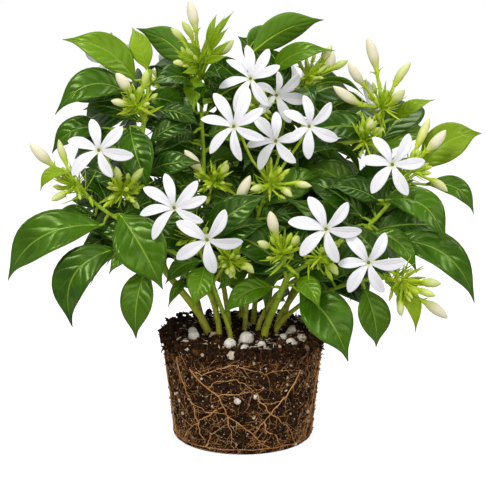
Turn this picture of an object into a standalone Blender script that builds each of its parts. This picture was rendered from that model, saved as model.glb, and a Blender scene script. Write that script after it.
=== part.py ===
"""Star jasmine plant on its bare, pot-shaped root ball.

Metres, +Z up, front towards -Y. The origin is the middle of the ball's flat base.
Places in the tables are millimetres as seen from the front: x to the right, z up, then the depth
towards the viewer. Leaves that would cross something else are bent clear of it, in small steps.
"""

import math
import random

import bmesh
import bpy
from mathutils import Matrix, Vector
from mathutils.bvhtree import BVHTree

MM = 0.001
VIEWER = Vector((0.0, -0.75, 0.2533))  # where the plant is seen from

BALL_HEIGHT = 0.0585
BALL_BASE_RADIUS = 0.039
BALL_TOP_RADIUS = 0.045
BALL_SEGMENTS = 24
SOIL_TOP = 0.060
RIM_CRUMBS = 13
HOLE_BOTTOM = 0.050
HOLE_TOP = 0.070
GROUND_POINT = 0.064  # a stem runs straight up from its hole's bottom to here
THICK_STEM = 0.0022  # foot radius; a thinner one has four sides
ROOT_RADIUS = 0.0007
BASE_ROOT_HEIGHT = 0.0035

GAP = 0.0003  # between pieces that touch
CLEAR = 0.0006  # least distance kept between pieces that only pass each other
LEAF_THICKNESS = 0.0007
PETIOLE_HALF_WIDTH = 0.0009
SHORT_PETIOLE = 0.009  # one that is shorter widens straight into its leaf
NARROW_LEAF, LARGE_LEAF = 0.0145, 0.017  # widths: a narrow leaf is flat across, a large one has one more row
LARGE_LEAF_ROWS, SMALL_LEAF_ROWS = (0.25, 0.54, 0.82), (0.32, 0.72)  # shares of the length
LEAF_ARCH = 0.10  # of the leaf's length
LEAF_FOLD = 0.22  # rise of the edges over the midrib, of the half width
PETAL_THICKNESS = 0.0007
PETAL_HALF_WIDTH = 0.0039
PETAL_TWIST = 0.16
PETAL_ROOM = 0.9  # the share of the room between two petals that each may fill
PETAL_ROWS = ((0.42, 0.9, 0.10), (0.80, 0.85, 0.08))  # share of the length, of the width, rise
BLOOM_RADIUS = 0.0185
TUBE_LENGTH = 0.008
TUBE_RADIUS = 0.0012
THROAT_RADIUS = 0.0020
PEDICEL_RADIUS = 0.0008
LOBE_LENGTH = 0.0042
LOBE_RADIUS = 0.0008
END_LEFT_FREE = 0.004  # no leaf grows from this last stretch of a stem
SUNK = 0.0016  # how deep a pedicel's root lies in what it grows from
BIG_BUD, SMALL_BUD = 0.0033, 0.0021  # radii

# Each stem: foot (x, depth), radius at its foot and its tip, the points it passes, its side shoots, and
# its leaves as (tip x, z, depth), (base x, z, depth), width.
STEMS = {
    "left": dict(
        foot=(-20, 9),
        radii=(2.9, 1.3),
        path=[(-32, 80, 16), (-43, 94, 22), (-52, 118, 26), (-60, 142, 24), (-56, 166, 18),
              (-53, 184, 14), (-50, 206, 10)],
        shoots=[[(-54, 178, 15), (-58, 186, 22)], [(-60, 138, 25), (-65, 139, 32)]],
        leaves=[
            ((-97, 223, 14), (-59, 200, 11), 18),
            ((-60, 229, 4), (-52, 206, 10), 12),
            ((-103, 183, 22), (-62, 193, 15), 18),
            ((-88, 185, 4), (-58, 178, 10), 11),
            ((-52, 140, 38), (-62, 175, 22), 20),
            ((-106, 161, 8), (-75, 174, 10), 15),
            ((-85, 115, 2), (-64, 122, 14), 14),
            ((-46, 150, 2), (-58, 168, 12), 14),
            ((-30, 182, 0), (-53, 190, 10), 15),
        ],
    ),
    "left_low": dict(
        foot=(-13, 15),
        radii=(2.2, 1.1),
        path=[(-18, 80, 20), (-32, 100, 30), (-56, 116, 36), (-76, 128, 36), (-88, 138, 33)],
        shoots=[],
        leaves=[
            ((-134, 90, 30), (-78, 120, 36), 24),
            ((-98, 62, 40), (-70, 107, 38), 22),
            ((-46, 86, 64), (-68, 126, 44), 27),
            ((-61, 55, 44), (-54, 96, 36), 18),
            ((-75, 93, 52), (-60, 106, 42), 8),
            ((-112, 139, 40), (-96, 149, 36), 7),
            ((-104, 112, 12), (-82, 126, 28), 14),
        ],
    ),
    "centre_left": dict(
        foot=(-8, -4),
        radii=(2.0, 1.1),
        path=[(-12, 92, -2), (-20, 130, 2), (-22, 165, -2), (-23, 190, -4), (-24, 203, -5)],
        shoots=[[(-21, 138, 2), (-17, 143, 12)]],
        leaves=[
            ((-57, 228, -16), (-30, 208, -12), 17),
            ((-27, 184, 16), (-26, 202, 0), 11),
            ((-46, 205, 4), (-27, 199, -3), 11),
            ((-48, 170, -14), (-23, 160, -4), 18),
            ((-2, 158, -22), (-20, 152, -4), 16),
            ((-44, 112, -6), (-18, 122, 0), 18),
            ((4, 196, -24), (-20, 182, -8), 16),
            ((-50, 190, -18), (-25, 182, -6), 18),
            ((-52, 138, -8), (-22, 142, 0), 20),
            ((12, 174, -12), (-19, 170, -4), 20),
        ],
    ),
    "centre": dict(
        foot=(1, 4),
        radii=(1.9, 1.1),
        path=[(4, 92, 8), (6, 116, 12), (12, 138, 18)],
        shoots=[[(5, 108, 11), (-3, 119, 18)]],
        leaves=[
            ((-12, 132, 2), (2, 104, 6), 14),
            ((34, 130, 6), (8, 118, 10), 18),
            ((30, 96, 4), (6, 92, 6), 16),
            ((-14, 84, 22), (2, 96, 10), 12),
            ((44, 150, 0), (11, 132, 16), 18),
            ((-24, 142, 10), (5, 122, 10), 16),
        ],
    ),
    "right_front": dict(
        foot=(12, 17),
        radii=(2.8, 1.4),
        path=[(17, 72, 22), (22, 84, 28), (26, 92, 33), (36, 98, 38), (42, 101, 42)],
        shoots=[[(24, 88, 31), (23, 98, 38), (22, 103, 41)]],
        leaves=[
            ((60, 43, 50), (32, 82, 33), 26),
            ((43, 73, 56), (31, 90, 38), 12),
            ((-11, 70, 36), (17, 85, 29), 14),
        ],
    ),
    "front": dict(
        foot=(-7, 22),
        radii=(1.9, 1.1),
        path=[(-14, 78, 27), (-20, 96, 31), (-27, 112, 34)],
        shoots=[[(-17, 87, 29), (-9, 99, 38)]],
        leaves=[
            ((-28, 74, 48), (-21, 97, 34), 15),
            ((-44, 87, 34), (-23, 100, 32), 10),
            ((-46, 78, 26), (-30, 90, 28), 6),
            ((0, 118, 34), (-18, 108, 32), 12),
            ((-50, 106, 18), (-23, 103, 30), 14),
        ],
    ),
    "right": dict(
        foot=(19, -3),
        radii=(2.3, 1.2),
        path=[(28, 80, -4), (46, 108, -6), (62, 140, -6), (74, 166, -4), (76, 180, -2)],
        shoots=[[(70, 157, -4), (67, 165, 6)]],
        leaves=[
            ((104, 190, 0), (82, 179, -6), 8),
            ((64, 116, 16), (64, 145, -2), 13),
            ((99, 115, 6), (62, 128, -4), 14),
            ((104, 172, -22), (76, 160, -8), 16),
            ((44, 164, -22), (64, 148, -8), 16),
            ((64, 88, -22), (38, 98, -10), 16),
            ((34, 132, -16), (52, 124, -6), 16),
            ((34, 154, -6), (62, 138, -6), 18),
            ((90, 146, -16), (64, 144, -8), 16),
            ((16, 112, -12), (44, 106, -6), 18),
        ],
    ),
    "right_out": dict(
        foot=(8, 10),
        radii=(1.9, 1.1),
        path=[(20, 82, 12), (46, 100, 18), (68, 118, 24), (82, 134, 24), (89, 146, 20)],
        shoots=[],
        leaves=[
            ((131, 172, -2), (99, 151, 4), 21),
            ((129, 127, 8), (101, 143, 10), 12),
            ((114, 109, 42), (78, 134, 28), 18),
            ((132, 77, 28), (80, 112, 26), 20),
            ((97, 93, 38), (72, 116, 30), 12),
            ((50, 74, 8), (38, 94, 16), 15),
            ((84, 90, 8), (56, 107, 20), 16),
        ],
    ),
    "right_low": dict(
        foot=(19, 9),
        radii=(1.9, 1.1),
        path=[(34, 76, 16), (56, 86, 30), (74, 90, 42), (86, 89, 47)],
        shoots=[],
        leaves=[
            ((99, 59, 52), (80, 88, 45), 10),
            ((76, 50, 40), (68, 84, 37), 18),
            ((30, 104, 22), (50, 88, 27), 13),
        ],
    ),
    "top_right": dict(
        foot=(6, -12),
        radii=(2.1, 1.1),
        path=[(10, 104, -16), (17, 150, -20), (24, 184, -18), (32, 199, -14)],
        shoots=[
            [(20, 168, -19), (13, 178, -12), (10, 184, -6)],
            [(23, 180, -18), (10, 198, -20), (2, 213, -18)],
        ],
        leaves=[
            ((43, 234, -14), (5, 215, -17), 19),
            ((16, 231, -30), (3, 216, -19), 11),
            ((48, 217, -2), (16, 203, -18), 13),
            ((44, 182, -24), (30, 196, -20), 13),
            ((66, 194, -14), (38, 197, -18), 10),
            ((58, 168, -12), (32, 190, -18), 15),
            ((42, 140, -30), (18, 150, -21), 16),
            ((-6, 134, -34), (13, 128, -18), 16),
            ((52, 152, -16), (19, 162, -20), 20),
            ((-12, 178, -30), (19, 172, -20), 18),
            ((44, 118, -26), (12, 120, -18), 18),
            ((-20, 110, -28), (11, 108, -16), 18),
        ],
    ),
}

# Each spray: the stem and which of its ends it grows from (0 the top, then its shoots), its centre, and
# its buds as (tip), (base), radius.
SPRAYS = {
    "top": ("centre_left", 0, (-25, 211, -3), [
        ((-29, 243, 0), (-25, 225, 0), BIG_BUD), ((-33, 232, 4), (-27, 222, 0), SMALL_BUD),
        ((-39, 228, -6), (-32, 221, -4), SMALL_BUD), ((-38, 210, 8), (-32, 209, 4), SMALL_BUD),
        ((-5, 222, 2), (-14, 214, 0), BIG_BUD * 0.8)]),
    "upper_left": ("left", 1, (-59, 188, 25), [
        ((-69, 204, 30), (-61, 192, 27), BIG_BUD), ((-72, 189, 36), (-63, 187, 31), SMALL_BUD),
        ((-52, 206, 26), (-54, 196, 26), SMALL_BUD)]),
    "far_left": ("left_low", 0, (-94, 144, 32), [
        ((-117, 166, 36), (-103, 152, 34), BIG_BUD), ((-101, 168, 24), (-97, 154, 28), SMALL_BUD),
        ((-106, 134, 46), (-97, 139, 38), SMALL_BUD)]),
    "left": ("left", 2, (-67, 140, 37), [
        ((-70, 153, 42), (-68, 145, 39), SMALL_BUD), ((-55, 152, 46), (-61, 144, 42), SMALL_BUD)]),
    "mid_left": ("centre_left", 1, (-15, 146, 18), [
        ((-32, 162, 26), (-22, 149, 22), BIG_BUD), ((-8, 154, 26), (-12, 149, 22), SMALL_BUD)]),
    "front": ("front", 0, (-29, 116, 37), []),
    "front_low": ("front", 1, (-6, 102, 42), [
        ((6, 93, 48), (0, 99, 45), SMALL_BUD), ((-7, 90, 48), (-6, 97, 45), SMALL_BUD)]),
    "centre_bud": ("centre", 1, (-6, 122, 22), [
        ((4, 148, 30), (-4, 130, 26), BIG_BUD), ((6, 124, 30), (0, 122, 26), SMALL_BUD)]),
    "centre": ("centre", 0, (16, 145, 22), [
        ((4, 140, 32), (11, 142, 26), SMALL_BUD), ((27, 136, 32), (21, 141, 26), SMALL_BUD),
        ((38, 142, 32), (28, 144, 28), SMALL_BUD)]),
    "behind": ("top_right", 1, (9, 188, -3), []),
    "upper_right": ("top_right", 0, (38, 204, -11), [
        ((48, 219, -8), (43, 210, -10), SMALL_BUD * 1.2), ((57, 211, -14), (47, 206, -12), SMALL_BUD)]),
    "right_top": ("right", 0, (76, 188, 0), [
        ((67, 223, 6), (73, 203, 3), BIG_BUD), ((57, 210, 14), (67, 196, 7), BIG_BUD * 0.9),
        ((49, 197, 2), (66, 186, 1), BIG_BUD), ((91, 210, -6), (82, 197, -3), SMALL_BUD * 1.2),
        ((88, 195, 12), (81, 188, 6), BIG_BUD * 0.8)]),
    "right_mid": ("right", 1, (66, 169, 11), [((71, 179, 16), (68, 173, 13), SMALL_BUD)]),
    "right_out": ("right_out", 0, (93, 153, 18), [
        ((111, 173, 18), (99, 160, 18), BIG_BUD), ((102, 180, 6), (95, 163, 12), SMALL_BUD * 1.2),
        ((113, 139, 26), (103, 146, 22), SMALL_BUD * 1.2)]),
    "right_front": ("right_front", 0, (46, 104, 45), [
        ((53, 92, 56), (48, 98, 50), SMALL_BUD)]),
    "low_front": ("right_front", 1, (22, 106, 43), [
        ((15, 128, 50), (19, 113, 46), BIG_BUD), ((8, 111, 50), (15, 108, 46), SMALL_BUD),
        ((31, 114, 50), (27, 109, 46), SMALL_BUD)]),
    "right_low": ("right_low", 0, (91, 89, 49), [
        ((111, 87, 50), (99, 88, 50), SMALL_BUD * 1.2), ((108, 80, 58), (98, 84, 53), SMALL_BUD),
        ((115, 67, 48), (99, 78, 49), BIG_BUD), ((89, 68, 56), (88, 78, 53), SMALL_BUD)]),
}

# Each bloom: its spray, its middle, the way it faces (right, up), and the tips of its petals.
BLOOMS = [
    ("left", (-79, 162, 50), (-0.1, 0.25),
     [(-83, 179), (-66, 175), (-60, 159), (-72, 147), (-94, 148), (-96, 167)]),
    ("behind", (4, 201, 8), (0, 0.3),
     [(2, 219), (14, 217), (20, 208), (14, 186), (-4, 182), (-13, 196), (-9, 211)]),
    ("behind", (18, 192, -4), (0.3, 0.2), [(19, 205), (31, 203), (36, 190), (26, 177), (8, 181), (7, 198)]),
    ("centre", (-5, 175, 34), (-0.2, 0.2),
     [(-16, 193), (3, 196), (11, 185), (12, 168), (-1, 156), (-18, 160), (-23, 179)]),
    ("centre", (18, 167, 22), (-0.3, 0.3), [(9, 151), (29, 155), (33, 171), (18, 183), (6, 180), (2, 164)]),
    ("centre", (36, 175, 38), (0.3, 0.1), [(48, 188), (52, 168), (36, 157), (25, 167), (22, 183), (33, 192)]),
    ("front", (-38, 130, 56), (-0.2, 0.2),
     [(-43, 149), (-25, 145), (-20, 136), (-22, 122), (-50, 112), (-57, 126), (-55, 141)]),
    ("front_low", (-20, 112, 62), (0.1, -0.1), [(-10, 129), (0, 111), (-16, 93), (-37, 101), (-37, 122)]),
    ("right_front", (46, 118, 64), (0, 0.1),
     [(36, 136), (58, 133), (66, 117), (53, 99), (32, 103), (25, 122)]),
    ("right_low", (70, 99, 66), (-0.1, 0), [(57, 115), (79, 116), (91, 100), (79, 82), (59, 82), (53, 98)]),
    ("right_out", (82, 154, 40), (0.1, 0.2),
     [(71, 169), (91, 171), (100, 156), (91, 137), (71, 138), (64, 156)]),
]

# The stems of the plant's far side: bearing from the front in degrees, reach, height, leaf pairs, blooms.
BACK_STEMS = [
    (112, 68, 128, 3, 1),
    (146, 78, 176, 4, 2),
    (182, 84, 138, 4, 1),
    (218, 74, 186, 4, 2),
    (250, 64, 132, 3, 1),
]
BACK_FOOT_RADIUS = 25

# Roots over the ball's side: bearing from the front in degrees, height in mm.
FRONT_ROOTS = [
    [(-41, 47), (-19, 34), (-11, 23), (7, 13), (15, 6), (22, 3.5)],
    [(-54, 52), (-51, 41), (-46, 32), (-42, 28), (-28, 24), (-12, 24)],
    [(-42, 28), (-36, 17), (-35, 11), (-31, 6)],
    [(45, 46), (36, 35), (27, 29), (21, 24), (16, 19), (8, 13)],
    [(10, 36), (13, 31), (21, 24), (31, 18), (39, 13), (46, 3.5)],
    [(-41, 47), (-31, 45), (-16, 50), (-6, 52), (4, 50), (16, 47), (30, 48), (45, 46)],
    [(-26, 38), (-20, 42), (-6, 44), (0, 42), (6, 39), (10, 36)],
    [(-19, 34), (-4, 36), (7, 37), (10, 36)],
    [(-11, 23), (-9, 14), (-9, 6), (-6, 3.5)],
    [(-15, 28), (-31, 20), (-36, 17), (-49, 10), (-56, 3.5)],
    [(-31, 3.5), (-29, 6), (-25, 11), (-10, 19)],
    [(16, 19), (18, 14), (27, 9), (32, 3.5)],
]
BACK_ROOT_BEARINGS = range(76, 300, 40)

# White perlite bedded in the ball: x, z and depth in mm, and diameter.
PERLITE = [
    (-28, 60, 9, 5), (-27, 60, 20, 6), (2, 60, 28, 7.5), (-7, 59, 34, 6.5), (1, 58, 38, 4.6),
    (10, 59, 34, 4.6), (27, 60, 8, 5), (22, 60, 20, 4), (26, 58, 29, 6), (-10, 60, -32, 5), (14, 59, -34, 5.4),
]
SIDE_PERLITE = [(-4, 31.5, 4), (9, 34, 3), (130, 30, 4), (250, 22, 3.6)]


def clear_scene():
    for obj in list(bpy.data.objects):
        bpy.data.objects.remove(obj, do_unlink=True)
    for collection in list(bpy.data.collections):
        bpy.data.collections.remove(collection)


def new_collection(name):
    collection = bpy.data.collections.new(name)
    bpy.context.scene.collection.children.link(collection)
    return collection


def material(name, colour, roughness):
    made = bpy.data.materials.new(name)
    made.use_nodes = True
    shader = made.node_tree.nodes["Principled BSDF"]
    shader.inputs["Base Color"].default_value = (*colour, 1.0)
    shader.inputs["Roughness"].default_value = roughness
    shader.inputs["Metallic"].default_value = 0.0
    made.diffuse_color = (*colour, 1.0)
    return made


def seen(x, z, depth=0.0):
    """World place of what is seen at x, z from the front, depth mm nearer to the viewer than the axis."""
    flat = Vector((x * MM, 0.0, z * MM))
    return VIEWER + (flat - VIEWER) * (1 + depth * MM / VIEWER.y)


# Rings of points, which a shape is lofted through, for the tests of what is clear of what.


def tube_rings(points, radii, sides=5):
    rings = []
    side = None
    for index, point in enumerate(points):
        before, after = points[max(index - 1, 0)], points[min(index + 1, len(points) - 1)]
        along = (after - before).normalized()
        side = (side or along.orthogonal()).cross(along).cross(along).normalized() * -1
        up = along.cross(side)
        turns = [math.tau * k / sides for k in range(sides)]
        rings.append([point + (side * math.cos(t) + up * math.sin(t)) * radii[index] for t in turns])
    return rings


def blade_rings(rows, normal, half):
    return [[p + normal * half for p in row] + [p - normal * half for p in reversed(row)] for row in rows]


class Crowd:
    """What has been placed so far, asked whether a new shape is clear of it."""

    def __init__(self):
        self.shapes = []

    @staticmethod
    def shape(rings):
        points = [point for ring in rings for point in ring]
        n = len(rings[0])
        faces = [
            (r * n + k, r * n + (k + 1) % n, (r + 1) * n + (k + 1) % n, (r + 1) * n + k)
            for r in range(len(rings) - 1)
            for k in range(n)
        ]
        faces += [tuple(range(n)), tuple(range(len(points) - n, len(points)))]
        centre = sum(points, Vector()) / len(points)
        return centre, max((p - centre).length for p in points), BVHTree.FromPolygons(points, faces)

    def add(self, owner, rings):
        self.shapes.append((owner, *self.shape(rings)))

    def hits(self, rings, ignore):
        centre, radius, tree = self.shape(rings)
        return sum(
            len(other_tree.overlap(tree))
            for owner, other_centre, other_radius, other_tree in self.shapes
            if owner not in ignore
            and (centre - other_centre).length < radius + other_radius
            and other_tree.overlap(tree)
        )


crowd = Crowd()


def nearest_on(points, place):
    """The point of a path that is nearest to a place."""
    best = None
    for start, end in zip(points, points[1:]):
        run = end - start
        share = min(max((place - start).dot(run) / run.length_squared, 0.0), 1.0)
        found = start + run * share
        if best is None or (place - found).length < (place - best).length:
            best = found
    return best


def tapered(count, first, last):
    return [first + (last - first) * i / (count - 1) for i in range(count)]


def turns_about(axis, side, most, step):
    """No turn, then small turns about axes across a shape's own, wider and wider."""
    yield Matrix.Identity(3)
    for count in range(1, most + 1):
        for eighth in (0, 4, 2, 6, 1, 3, 5, 7):
            about = Matrix.Rotation(eighth * math.tau / 8, 3, axis) @ side
            yield Matrix.Rotation(math.radians(count * step), 3, about)


# What a leaf is: rows of three points from its root in the stem to its tip.


def leaf_width(share):
    return math.sin(math.pi * share**0.88) ** 0.85


def leaf_rows(root, base, tip, width, hint):
    along = tip - base
    stations = LARGE_LEAF_ROWS if width > LARGE_LEAF else SMALL_LEAF_ROWS
    axis = along.normalized()
    normal = (hint - axis * hint.dot(axis)).normalized()
    side = axis.cross(normal)
    rows = []
    ends = (root, base) if (base - root).length > SHORT_PETIOLE else (root,)
    for end in ends:  # the petiole is two points wide, its last two are one
        left, right = end - side * PETIOLE_HALF_WIDTH, end + side * PETIOLE_HALF_WIDTH
        rows.append([left, right, right])
    folded = width > NARROW_LEAF
    for share in stations:
        middle = base + along * share + normal * (LEAF_ARCH * along.length * 4 * share * (1 - share))
        half = width / 2 * leaf_width(share)
        rise = normal * (LEAF_FOLD * half)
        left, right = middle - side * half + rise, middle + side * half + rise
        rows.append([left, middle, right] if folded else [left, right, right])
    rows.append([tip, tip, tip])
    return rows, normal


def place_leaf(owner, root, base, tip, width, hint):
    """Bends a leaf clear of everything else, and of its own stem's leaves if it can."""
    axis = (tip - base).normalized()
    side = axis.cross(hint).normalized()
    best = None
    for size in (1.0, 0.86, 0.72):
        for turn in turns_about(axis, side, 12, 5):
            moved = base + turn @ (tip - base) * size
            rows, normal = leaf_rows(root, base, moved, width * size, turn @ hint)
            rings = blade_rings(rows, normal, LEAF_THICKNESS / 2 + CLEAR)
            if crowd.hits(rings, {owner}):
                continue
            own = crowd.hits(rings[2:], {other for other, *_ in crowd.shapes if other != owner})
            if best is None or own < best[0]:
                best = own, rows, normal
            if not own:
                break
        if best:
            break
    if best is None:
        return None
    crowd.add(owner, blade_rings(best[1], best[2], LEAF_THICKNESS / 2))
    return best[1]


# Blender objects.


def blade(name, rows, thickness):
    """A closed blade of even thickness over rows of points, split into triangles alike on both faces."""
    bm = bmesh.new()
    columns = len(rows[0])
    bmesh.ops.create_grid(bm, x_segments=columns - 1, y_segments=len(rows) - 1, size=1)
    for vert, place in zip(bm.verts, [point for row in rows for point in row]):
        vert.co = place
    bmesh.ops.remove_doubles(bm, verts=bm.verts, dist=1e-5)
    bmesh.ops.triangulate(bm, faces=bm.faces)
    bmesh.ops.recalc_face_normals(bm, faces=bm.faces)
    for vert in bm.verts:
        vert.co -= vert.normal * thickness / 2
    bmesh.ops.solidify(bm, geom=bm.faces[:], thickness=-thickness)
    bmesh.ops.recalc_face_normals(bm, faces=bm.faces)
    mesh = bpy.data.meshes.new(name)
    bm.to_mesh(mesh)
    bm.free()
    return bpy.data.objects.new(name, mesh)


def tube(name, points, radii, sides=6, cyclic=False):
    """A round bar along a path, its radius given at each point."""
    curve = bpy.data.curves.new(name, "CURVE")
    curve.dimensions = "3D"
    curve.bevel_depth = 1.0
    curve.bevel_resolution = (sides - 4) // 2
    curve.use_fill_caps = True
    spline = curve.splines.new("POLY")
    spline.points.add(len(points) - 1)
    spline.use_cyclic_u = cyclic
    for point, place, radius in zip(spline.points, points, radii):
        point.co = (*place, 1.0)
        point.radius = radius
    bent = bpy.data.objects.new(name, curve)
    bpy.context.scene.collection.objects.link(bent)
    graph = bpy.context.evaluated_depsgraph_get()
    mesh = bpy.data.meshes.new_from_object(bent.evaluated_get(graph))
    bpy.data.objects.remove(bent, do_unlink=True)
    bm = bmesh.new()
    bm.from_mesh(mesh)
    bmesh.ops.remove_doubles(bm, verts=bm.verts, dist=1e-6)
    bmesh.ops.recalc_face_normals(bm, faces=bm.faces)
    bm.to_mesh(mesh)
    bm.free()
    return bpy.data.objects.new(name, mesh)


def spike(name, place, way):
    """A three-sided point."""
    bm = bmesh.new()
    bmesh.ops.create_cone(
        bm, cap_ends=True, segments=3, radius1=LOBE_RADIUS, radius2=0.0, depth=LOBE_LENGTH,
        matrix=Matrix.Translation((0, 0, LOBE_LENGTH / 2)),
    )
    bmesh.ops.remove_doubles(bm, verts=bm.verts, dist=1e-6)
    bmesh.ops.rotate(bm, matrix=way.to_track_quat("Z", "Y").to_matrix(), verts=bm.verts)
    bmesh.ops.translate(bm, vec=place, verts=bm.verts)
    mesh = bpy.data.meshes.new(name)
    bm.to_mesh(mesh)
    bm.free()
    return bpy.data.objects.new(name, mesh)


def ball(name, place, diameter, rng):
    """A lumpy ball of twenty faces."""
    bm = bmesh.new()
    bmesh.ops.create_icosphere(bm, subdivisions=1, radius=diameter / 2)
    for vert in bm.verts:
        vert.co *= rng.uniform(0.85, 1.1)
    bmesh.ops.transform(bm, matrix=Matrix.Translation(place), verts=bm.verts)
    mesh = bpy.data.meshes.new(name)
    bm.to_mesh(mesh)
    bm.free()
    return bpy.data.objects.new(name, mesh)


def closed_bodies(mesh):
    """How many bodies a mesh has, or none if it has an open edge."""
    bm = bmesh.new()
    bm.from_mesh(mesh)
    if not bm.faces or any(len(edge.link_faces) != 2 for edge in bm.edges):
        bm.free()
        return None
    left, count = set(bm.verts), 0
    while left:
        count += 1
        front = [left.pop()]
        while front:
            vert = front.pop()
            near = {edge.other_vert(vert) for edge in vert.link_edges} & left
            left -= near
            front.extend(near)
    bm.free()
    return count


def boolean(base, pieces, operation):
    """The base with all the pieces joined to it or cut from it; the pieces are used up."""
    helpers = new_collection("helpers")
    for piece in pieces:
        helpers.objects.link(piece)
    bpy.context.scene.collection.objects.link(base)
    for solver in ("EXACT", "MANIFOLD"):
        modifier = base.modifiers.new(operation.lower(), "BOOLEAN")
        modifier.operation = operation
        modifier.operand_type = "COLLECTION"
        modifier.collection = helpers
        modifier.solver = solver
        graph = bpy.context.evaluated_depsgraph_get()
        mesh = bpy.data.meshes.new_from_object(base.evaluated_get(graph))
        base.modifiers.remove(modifier)
        if closed_bodies(mesh) == 1:
            break
    else:
        print(base.name, "isn't one closed body:", closed_bodies(mesh))
    base.data = mesh
    bpy.context.scene.collection.objects.unlink(base)
    for piece in pieces:
        bpy.data.objects.remove(piece, do_unlink=True)
    bpy.data.collections.remove(helpers)
    return base


def finish(obj, collection, finish_material):
    obj.data.materials.clear()
    obj.data.materials.append(finish_material)
    obj.data.shade_smooth()
    obj.data.set_sharp_from_angle(angle=math.radians(40))
    collection.objects.link(obj)


# The root ball.


def ball_radius(height):
    return BALL_BASE_RADIUS + (BALL_TOP_RADIUS - BALL_BASE_RADIUS) * height / BALL_HEIGHT


def on_ball(bearing, height, lift=0.0):
    """A place on the ball's side: bearing in degrees from the front, height in mm."""
    radius = ball_radius(height * MM) + lift
    angle = math.radians(bearing)
    return Vector((radius * math.sin(angle), -radius * math.cos(angle), height * MM))


def make_root_ball(feet):
    rng = random.Random(5)
    profile = bpy.data.meshes.new("root_ball")
    outline = [(0, SOIL_TOP), (0.020, SOIL_TOP), (0.038, SOIL_TOP - 0.0004),
               (BALL_TOP_RADIUS, BALL_HEIGHT - 0.003)]
    outline += [(ball_radius(height), height) for height in (0.040, 0.027, 0.014, 0.0015)]
    outline += [(BALL_BASE_RADIUS - 0.0015, 0.0), (0, 0)]
    bm = bmesh.new()
    verts = [bm.verts.new((x, 0, z)) for x, z in outline]
    edges = [bm.edges.new(pair) for pair in zip(verts, verts[1:])]
    bmesh.ops.spin(
        bm, geom=verts + edges, axis=(0, 0, 1), cent=(0, 0, 0),
        angle=math.tau, steps=BALL_SEGMENTS, use_merge=True,
    )
    bmesh.ops.remove_doubles(bm, verts=bm.verts, dist=1e-5)
    bmesh.ops.recalc_face_normals(bm, faces=bm.faces)
    for vert in bm.verts:
        x, y, z = vert.co
        if z > SOIL_TOP - 0.001:
            vert.co.z += rng.uniform(-0.0012, 0.0012)
        elif z > 0.005:
            shrink = 1 - rng.uniform(0.0, 0.0009) / BALL_TOP_RADIUS
            vert.co.x, vert.co.y = x * shrink, y * shrink
    bmesh.ops.triangulate(bm, faces=bm.faces)
    bm.to_mesh(profile)
    bm.free()
    soil = bpy.data.objects.new("root_ball", profile)

    lumps = []
    for index in range(RIM_CRUMBS):
        bearing = index * 360 / RIM_CRUMBS + rng.uniform(-4, 4)
        place = on_ball(bearing, 57) * rng.uniform(0.86, 0.96)
        place.z = SOIL_TOP - 0.0022 + rng.uniform(-0.0005, 0.0008)
        lumps.append(ball("crumb", place, rng.uniform(0.005, 0.009), rng))
    for x, z, depth, size in PERLITE:
        lumps.append(ball("perlite", Vector((x * MM, -depth * MM, z * MM)), size * MM, rng))
    for bearing, height, size in SIDE_PERLITE:
        lumps.append(ball("perlite", on_ball(bearing, height, -0.0008), size * MM, rng))
    boolean(soil, lumps, "UNION")
    holes = []
    for foot, radius in feet:
        bottom = Vector((foot.x, foot.y, HOLE_BOTTOM - GAP))
        top = Vector((foot.x, foot.y, HOLE_TOP))
        holes.append(tube("hole", [bottom, top], [radius * 1.16 + 0.0004] * 2))
    return boolean(soil, holes, "DIFFERENCE")


def root_path(stations):
    """Points close enough together that straight runs between them stay outside the ball."""
    points = []
    for (bearing, height), (next_bearing, next_height) in zip(stations, stations[1:]):
        steps = max(1, math.ceil(abs(next_bearing - bearing) / 12))
        for step in range(steps):
            share = step / steps
            points.append((bearing + (next_bearing - bearing) * share, height + (next_height - height) * share))
    points.append(stations[-1])
    return [on_ball(bearing, height, GAP + ROOT_RADIUS + 0.0002) for bearing, height in points]


def make_root_net():
    rng = random.Random(11)
    routes = list(FRONT_ROOTS)
    for bearing in BACK_ROOT_BEARINGS:
        heights = [rng.uniform(44, 52), 36, 25, 14, BASE_ROOT_HEIGHT / MM]
        drift = rng.choice((-1, 1))
        routes.append([(bearing + drift * rng.uniform(2, 7) * i, height) for i, height in enumerate(heights)])
    pieces = []
    for route in routes:
        points = root_path(route)
        pieces.append(tube("root", points, tapered(len(points), ROOT_RADIUS, ROOT_RADIUS * 0.75), 4))
    circle = root_path([(0, BASE_ROOT_HEIGHT / MM), (348, BASE_ROOT_HEIGHT / MM)])
    base = tube("root_net", circle, [ROOT_RADIUS] * len(circle), 4, cyclic=True)
    return boolean(base, pieces, "UNION")


# The plant.


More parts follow.
